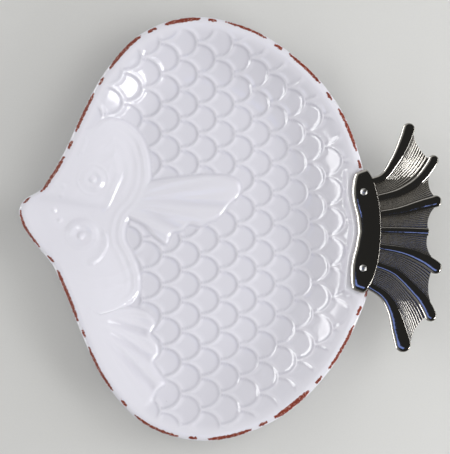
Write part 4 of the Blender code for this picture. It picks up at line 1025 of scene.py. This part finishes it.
def bandMesh():
    bm = bmesh.new()
    roll = tail["bandThickness"] - tail["bandEdge"]

    def place(u, v):
        row = v * (tail["rollRows"] + 2) - 1.0
        turn = np.clip(row / tail["rollRows"], 0.0, 1.0) * math.pi / 2
        flat = np.clip(row - tail["rollRows"], 0.0, 1.0)
        drawn = 1.0 - np.cos(turn)
        inner, outer = tail["innerRoll"] * drawn + flat, tail["outerRoll"] * drawn + flat
        plan = bandPoints(2 * math.pi * u, inner, outer)
        z = np.where(row < 0.0, bandBase, bandBase + tail["bandEdge"] + roll * np.sin(turn))
        return toWorld(plan, z)

    patch(bm, tail["bandPoints"], tail["rollRows"] + 2, place)
    bmesh.ops.remove_doubles(bm, verts=bm.verts, dist=tail["merge"] * mm)
    bmesh.ops.holes_fill(bm, edges=[edge for edge in bm.edges if edge.is_boundary], sides=0)
    bmesh.ops.recalc_face_normals(bm, faces=bm.faces)
    return bm


def screwMiddles():
    for side in ("upper", "lower"):
        low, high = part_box("screw_" + side)
        yield (low + high) / 2


def holeMesh():
    bm = bmesh.new()
    radius = tail["holeRadius"] * mm
    for middle in screwMiddles():
        made = bmesh.ops.create_cone(bm, cap_ends=True, segments=tail["holeSegments"], radius1=radius,
                                     radius2=radius, depth=tail["holeDepth"] * mm)
        bmesh.ops.translate(bm, verts=made["verts"], vec=middle)
    return bm


def tailPiece(material):
    band = meshObject("band", bandMesh())
    fan = meshObject("fan", fanMesh())
    holes = meshObject("holes", holeMesh())
    for other, operation in ((fan, "UNION"), (holes, "DIFFERENCE")):
        cut = band.modifiers.new(operation.lower(), "BOOLEAN")
        cut.object = other
        cut.operation = operation
    for item in (band, fan, holes):
        bpy.context.scene.collection.objects.link(item)
    shaped = bpy.data.meshes.new_from_object(band.evaluated_get(bpy.context.evaluated_depsgraph_get()))
    for item in (band, fan, holes):
        bpy.data.objects.remove(item)
    bm = bmesh.new()
    bm.from_mesh(shaped)
    piece = makePiece("tail_cast", bm, material, "tail_casting", tail["sharpDegrees"])
    points = np.array([vert.co for vert in piece.data.vertices]) / mm
    plan = points[:, :2] - plateMiddle
    angle, inward = rimPlace(*plan.T)
    height = points[:, 2] - fanUnderside(plan) - tail["fanThickness"]
    edge = bandOverhang((angle - tail["angle"]) * tailRadius)
    onFan = (inward < tail["filmSlack"] - edge) & (height > -tail["filmSlack"])
    setAttribute(piece.data, "film", np.where(onFan, 1.0 - smooth(height / tail["filmHeight"]), 0.0))
    print("tail:", len(piece.data.polygons), "faces")
    return piece


def fixings(metal, soft):
    for side in ("upper", "lower"):
        for kind, material, slot in (("screw", metal, "fixings"), ("steel_washer", metal, "fixings"),
                                     ("cap_nut", metal, "fixings"), ("soft_washer", soft, "gasket")):
            node = f"{kind}_{side}"
            makePiece(node + "_finished", mergedCopy(node), material, node)
    makePiece("gasket_sheet", mergedCopy("tail_gasket"), soft, "tail_gasket")


steel = platingMaterial()
greyRubber = rubberMaterial()
dishPiece(glazeMaterial())
tailPiece(castMetalMaterial())
fixings(steel, greyRubber)
print("pieces made")


# Camera: straight above, as the photograph was taken

photo = {
    "width": 450,
    "height": 454,
    "mmPerPixel": 0.85,  # at the height of the rim
    "plateMiddle": (200, 229),  # pixel over the middle of the plate
    "distance": 1600.0,  # from the lens down to the rim
}


def addCamera():
    size = max(photo["width"], photo["height"]) * photo["mmPerPixel"]
    pixelX, pixelY = photo["plateMiddle"]
    offset = np.array([photo["width"] / 2 - pixelX, pixelY - photo["height"] / 2])
    x, y = (plateMiddle + offset * photo["mmPerPixel"]) * mm
    lens = bpy.data.cameras.new("overhead camera")
    lens.lens = lens.sensor_width * photo["distance"] / size
    camera = bpy.data.objects.new("overhead camera", lens)
    camera.location = (x, y, (photo["distance"] + plate["rimHeight"]) * mm)
    bpy.context.scene.collection.objects.link(camera)
    bpy.context.scene.camera = camera


# Light: a small softbox and a low strip at the right and a long window at the left make the highlights on
# the glaze, a strip of blue sky those on the metal, and soft panels all round light the matt colours

# name, degrees from the tail and above the floor, distance, width and height in metres, watts, colour, and
# whether it shows in glossy surfaces, lights matt ones, or both
lamps = (
    ("right softbox", -33, 23, 1.4, 0.40, 0.30, 5.0, "FFFFFF", "both"),
    ("left window", 176, 20, 1.4, 2.30, 0.40, 23.0, "FFFFFF", "gloss"),
    ("low right strip", -2, 17.5, 1.4, 1.05, 0.18, 3.4, "FFFFFF", "gloss"),
    ("front skylight", 240, 71, 1.4, 0.80, 0.30, 0.85, "88A2F4", "gloss"),
    ("right panel", 2, 28, 1.4, 0.90, 0.90, 4.1, "FFFFFF", "matt"),
    ("back right panel", 15, 38, 1.4, 1.00, 1.00, 7.2, "FFFFFF", "matt"),
    ("far panel", 90, 32, 1.5, 0.80, 0.80, 0.6, "FFFFFF", "matt"),
    ("near panel", 270, 32, 1.5, 0.80, 0.80, 2.6, "FFFFFF", "matt"),
    ("left panel", 180, 42, 1.4, 1.30, 1.30, 4.1, "FFFFFF", "matt"),
    ("back left panel", 135, 38, 1.4, 1.00, 1.00, 2.0, "FFFFFF", "matt"),
    ("overhead panel", 0, 82, 1.4, 1.60, 1.60, 6.0, "FFFFFF", "matt"),
)


def addLamps():
    for name, direction, height, distance, wide, high, watts, colour, seen in lamps:
        light = bpy.data.lights.new(name, "AREA")
        light.shape = "RECTANGLE"
        light.size = wide
        light.size_y = high
        light.energy = watts
        light.color = linearColour(colour)[:3]
        lamp = bpy.data.objects.new(name, light)
        turn, lift = math.radians(direction), math.radians(height)
        way = Vector((math.cos(turn) * math.cos(lift), math.sin(turn) * math.cos(lift), math.sin(lift)))
        lamp.location = way * distance
        lamp.rotation_euler = way.to_track_quat("Z", "Y").to_euler()
        lamp.visible_glossy = seen != "matt"
        lamp.visible_diffuse = seen != "gloss"
        bpy.context.scene.collection.objects.link(lamp)


# What the metal mirrors: a pale wall, highest on the left and brightest at the back, and a dark ceiling
room = {
    "colour": "FFFEFB",
    "strength": 0.67,
    "leftHeight": 0.70,  # how much higher the wall is at the left than in the middle
    "wallTop": (0.15, 0.55),  # heights between which it fades into the ceiling
    "ceiling": 0.05,
    "frontToBack": (0.25, 1.10),
}


def addWorld():
    world = bpy.data.worlds.new("studio")
    bpy.context.scene.world = world
    world.use_nodes = True
    tree = world.node_tree
    tree.nodes.clear()
    way = addNode(tree, "TexCoord").outputs["Generated"]
    parts = addNode(tree, "SeparateXYZ", links={"Vector": way}).outputs
    height = addNode(tree, "Math", {1: room["leftHeight"]}, {0: parts["X"], 2: parts["Z"]},
                     operation="MULTIPLY_ADD").outputs[0]
    start, end = room["wallTop"]
    wall = addNode(tree, "MapRange", {"From Min": start, "From Max": end, "To Min": 1.0, "To Max": 0.0},
                   {"Value": height}, interpolation_type="SMOOTHSTEP")
    front, back = room["frontToBack"]
    depth = addNode(tree, "MapRange", {"From Min": -1.0, "To Min": front, "To Max": back},
                    {"Value": parts["Y"]})
    lit = addNode(tree, "Math", {2: room["ceiling"]}, operation="MULTIPLY_ADD",
                  links={0: wall.outputs["Result"], 1: depth.outputs["Result"]}).outputs[0]
    strength = addNode(tree, "Math", {1: room["strength"]}, {0: lit}, operation="MULTIPLY").outputs[0]
    shade = addNode(tree, "Background", {"Color": linearColour(room["colour"])}, {"Strength": strength})
    addNode(tree, "OutputWorld", links={"Surface": shade.outputs["Background"]})


# Pale grey backdrop paper: quite matt, with a faint fibre, drawn as coarse as it needs to show.
paper = {
    "half": 4000.0,  # of a side
    "drop": 0.2,  # below the foot
    "colour": "D3D3D1",
    "fibreColour": "D7D7D5",
    "roughness": 0.9,
    "fibre": 1.5,
}


def addFloor():
    bm = bmesh.new()
    bmesh.ops.create_grid(bm, x_segments=1, y_segments=1, size=paper["half"] * mm)
    bmesh.ops.translate(bm, verts=bm.verts, vec=(0.0, 0.0, cadLow.z - paper["drop"] * mm))
    floor = meshObject("floor", bm)
    material, tree, place = newMaterial("pale grey paper")
    fibre = addNode(tree, "TexNoise", {"Scale": perMm(paper["fibre"]), "Detail": 2.0},
                    {"Vector": place}).outputs["Fac"]
    plain, fibres = linearColour(paper["colour"]), linearColour(paper["fibreColour"])
    colour = addNode(tree, "Mix", {"A": plain, "B": fibres}, {"Factor": fibre}, data_type="RGBA")
    shader = addNode(tree, "BsdfPrincipled", {"Roughness": paper["roughness"], "Specular IOR Level": 0.0},
                     {"Base Color": colour.outputs["Result"]})
    addNode(tree, "OutputMaterial", links={"Surface": shader.outputs["BSDF"]})
    floor.data.materials.append(material)
    bpy.context.scene.collection.objects.link(floor)


addCamera()
addLamps()
addWorld()
addFloor()
bpy.context.scene.view_settings.view_transform = "Standard"
print("camera, light and floor set")
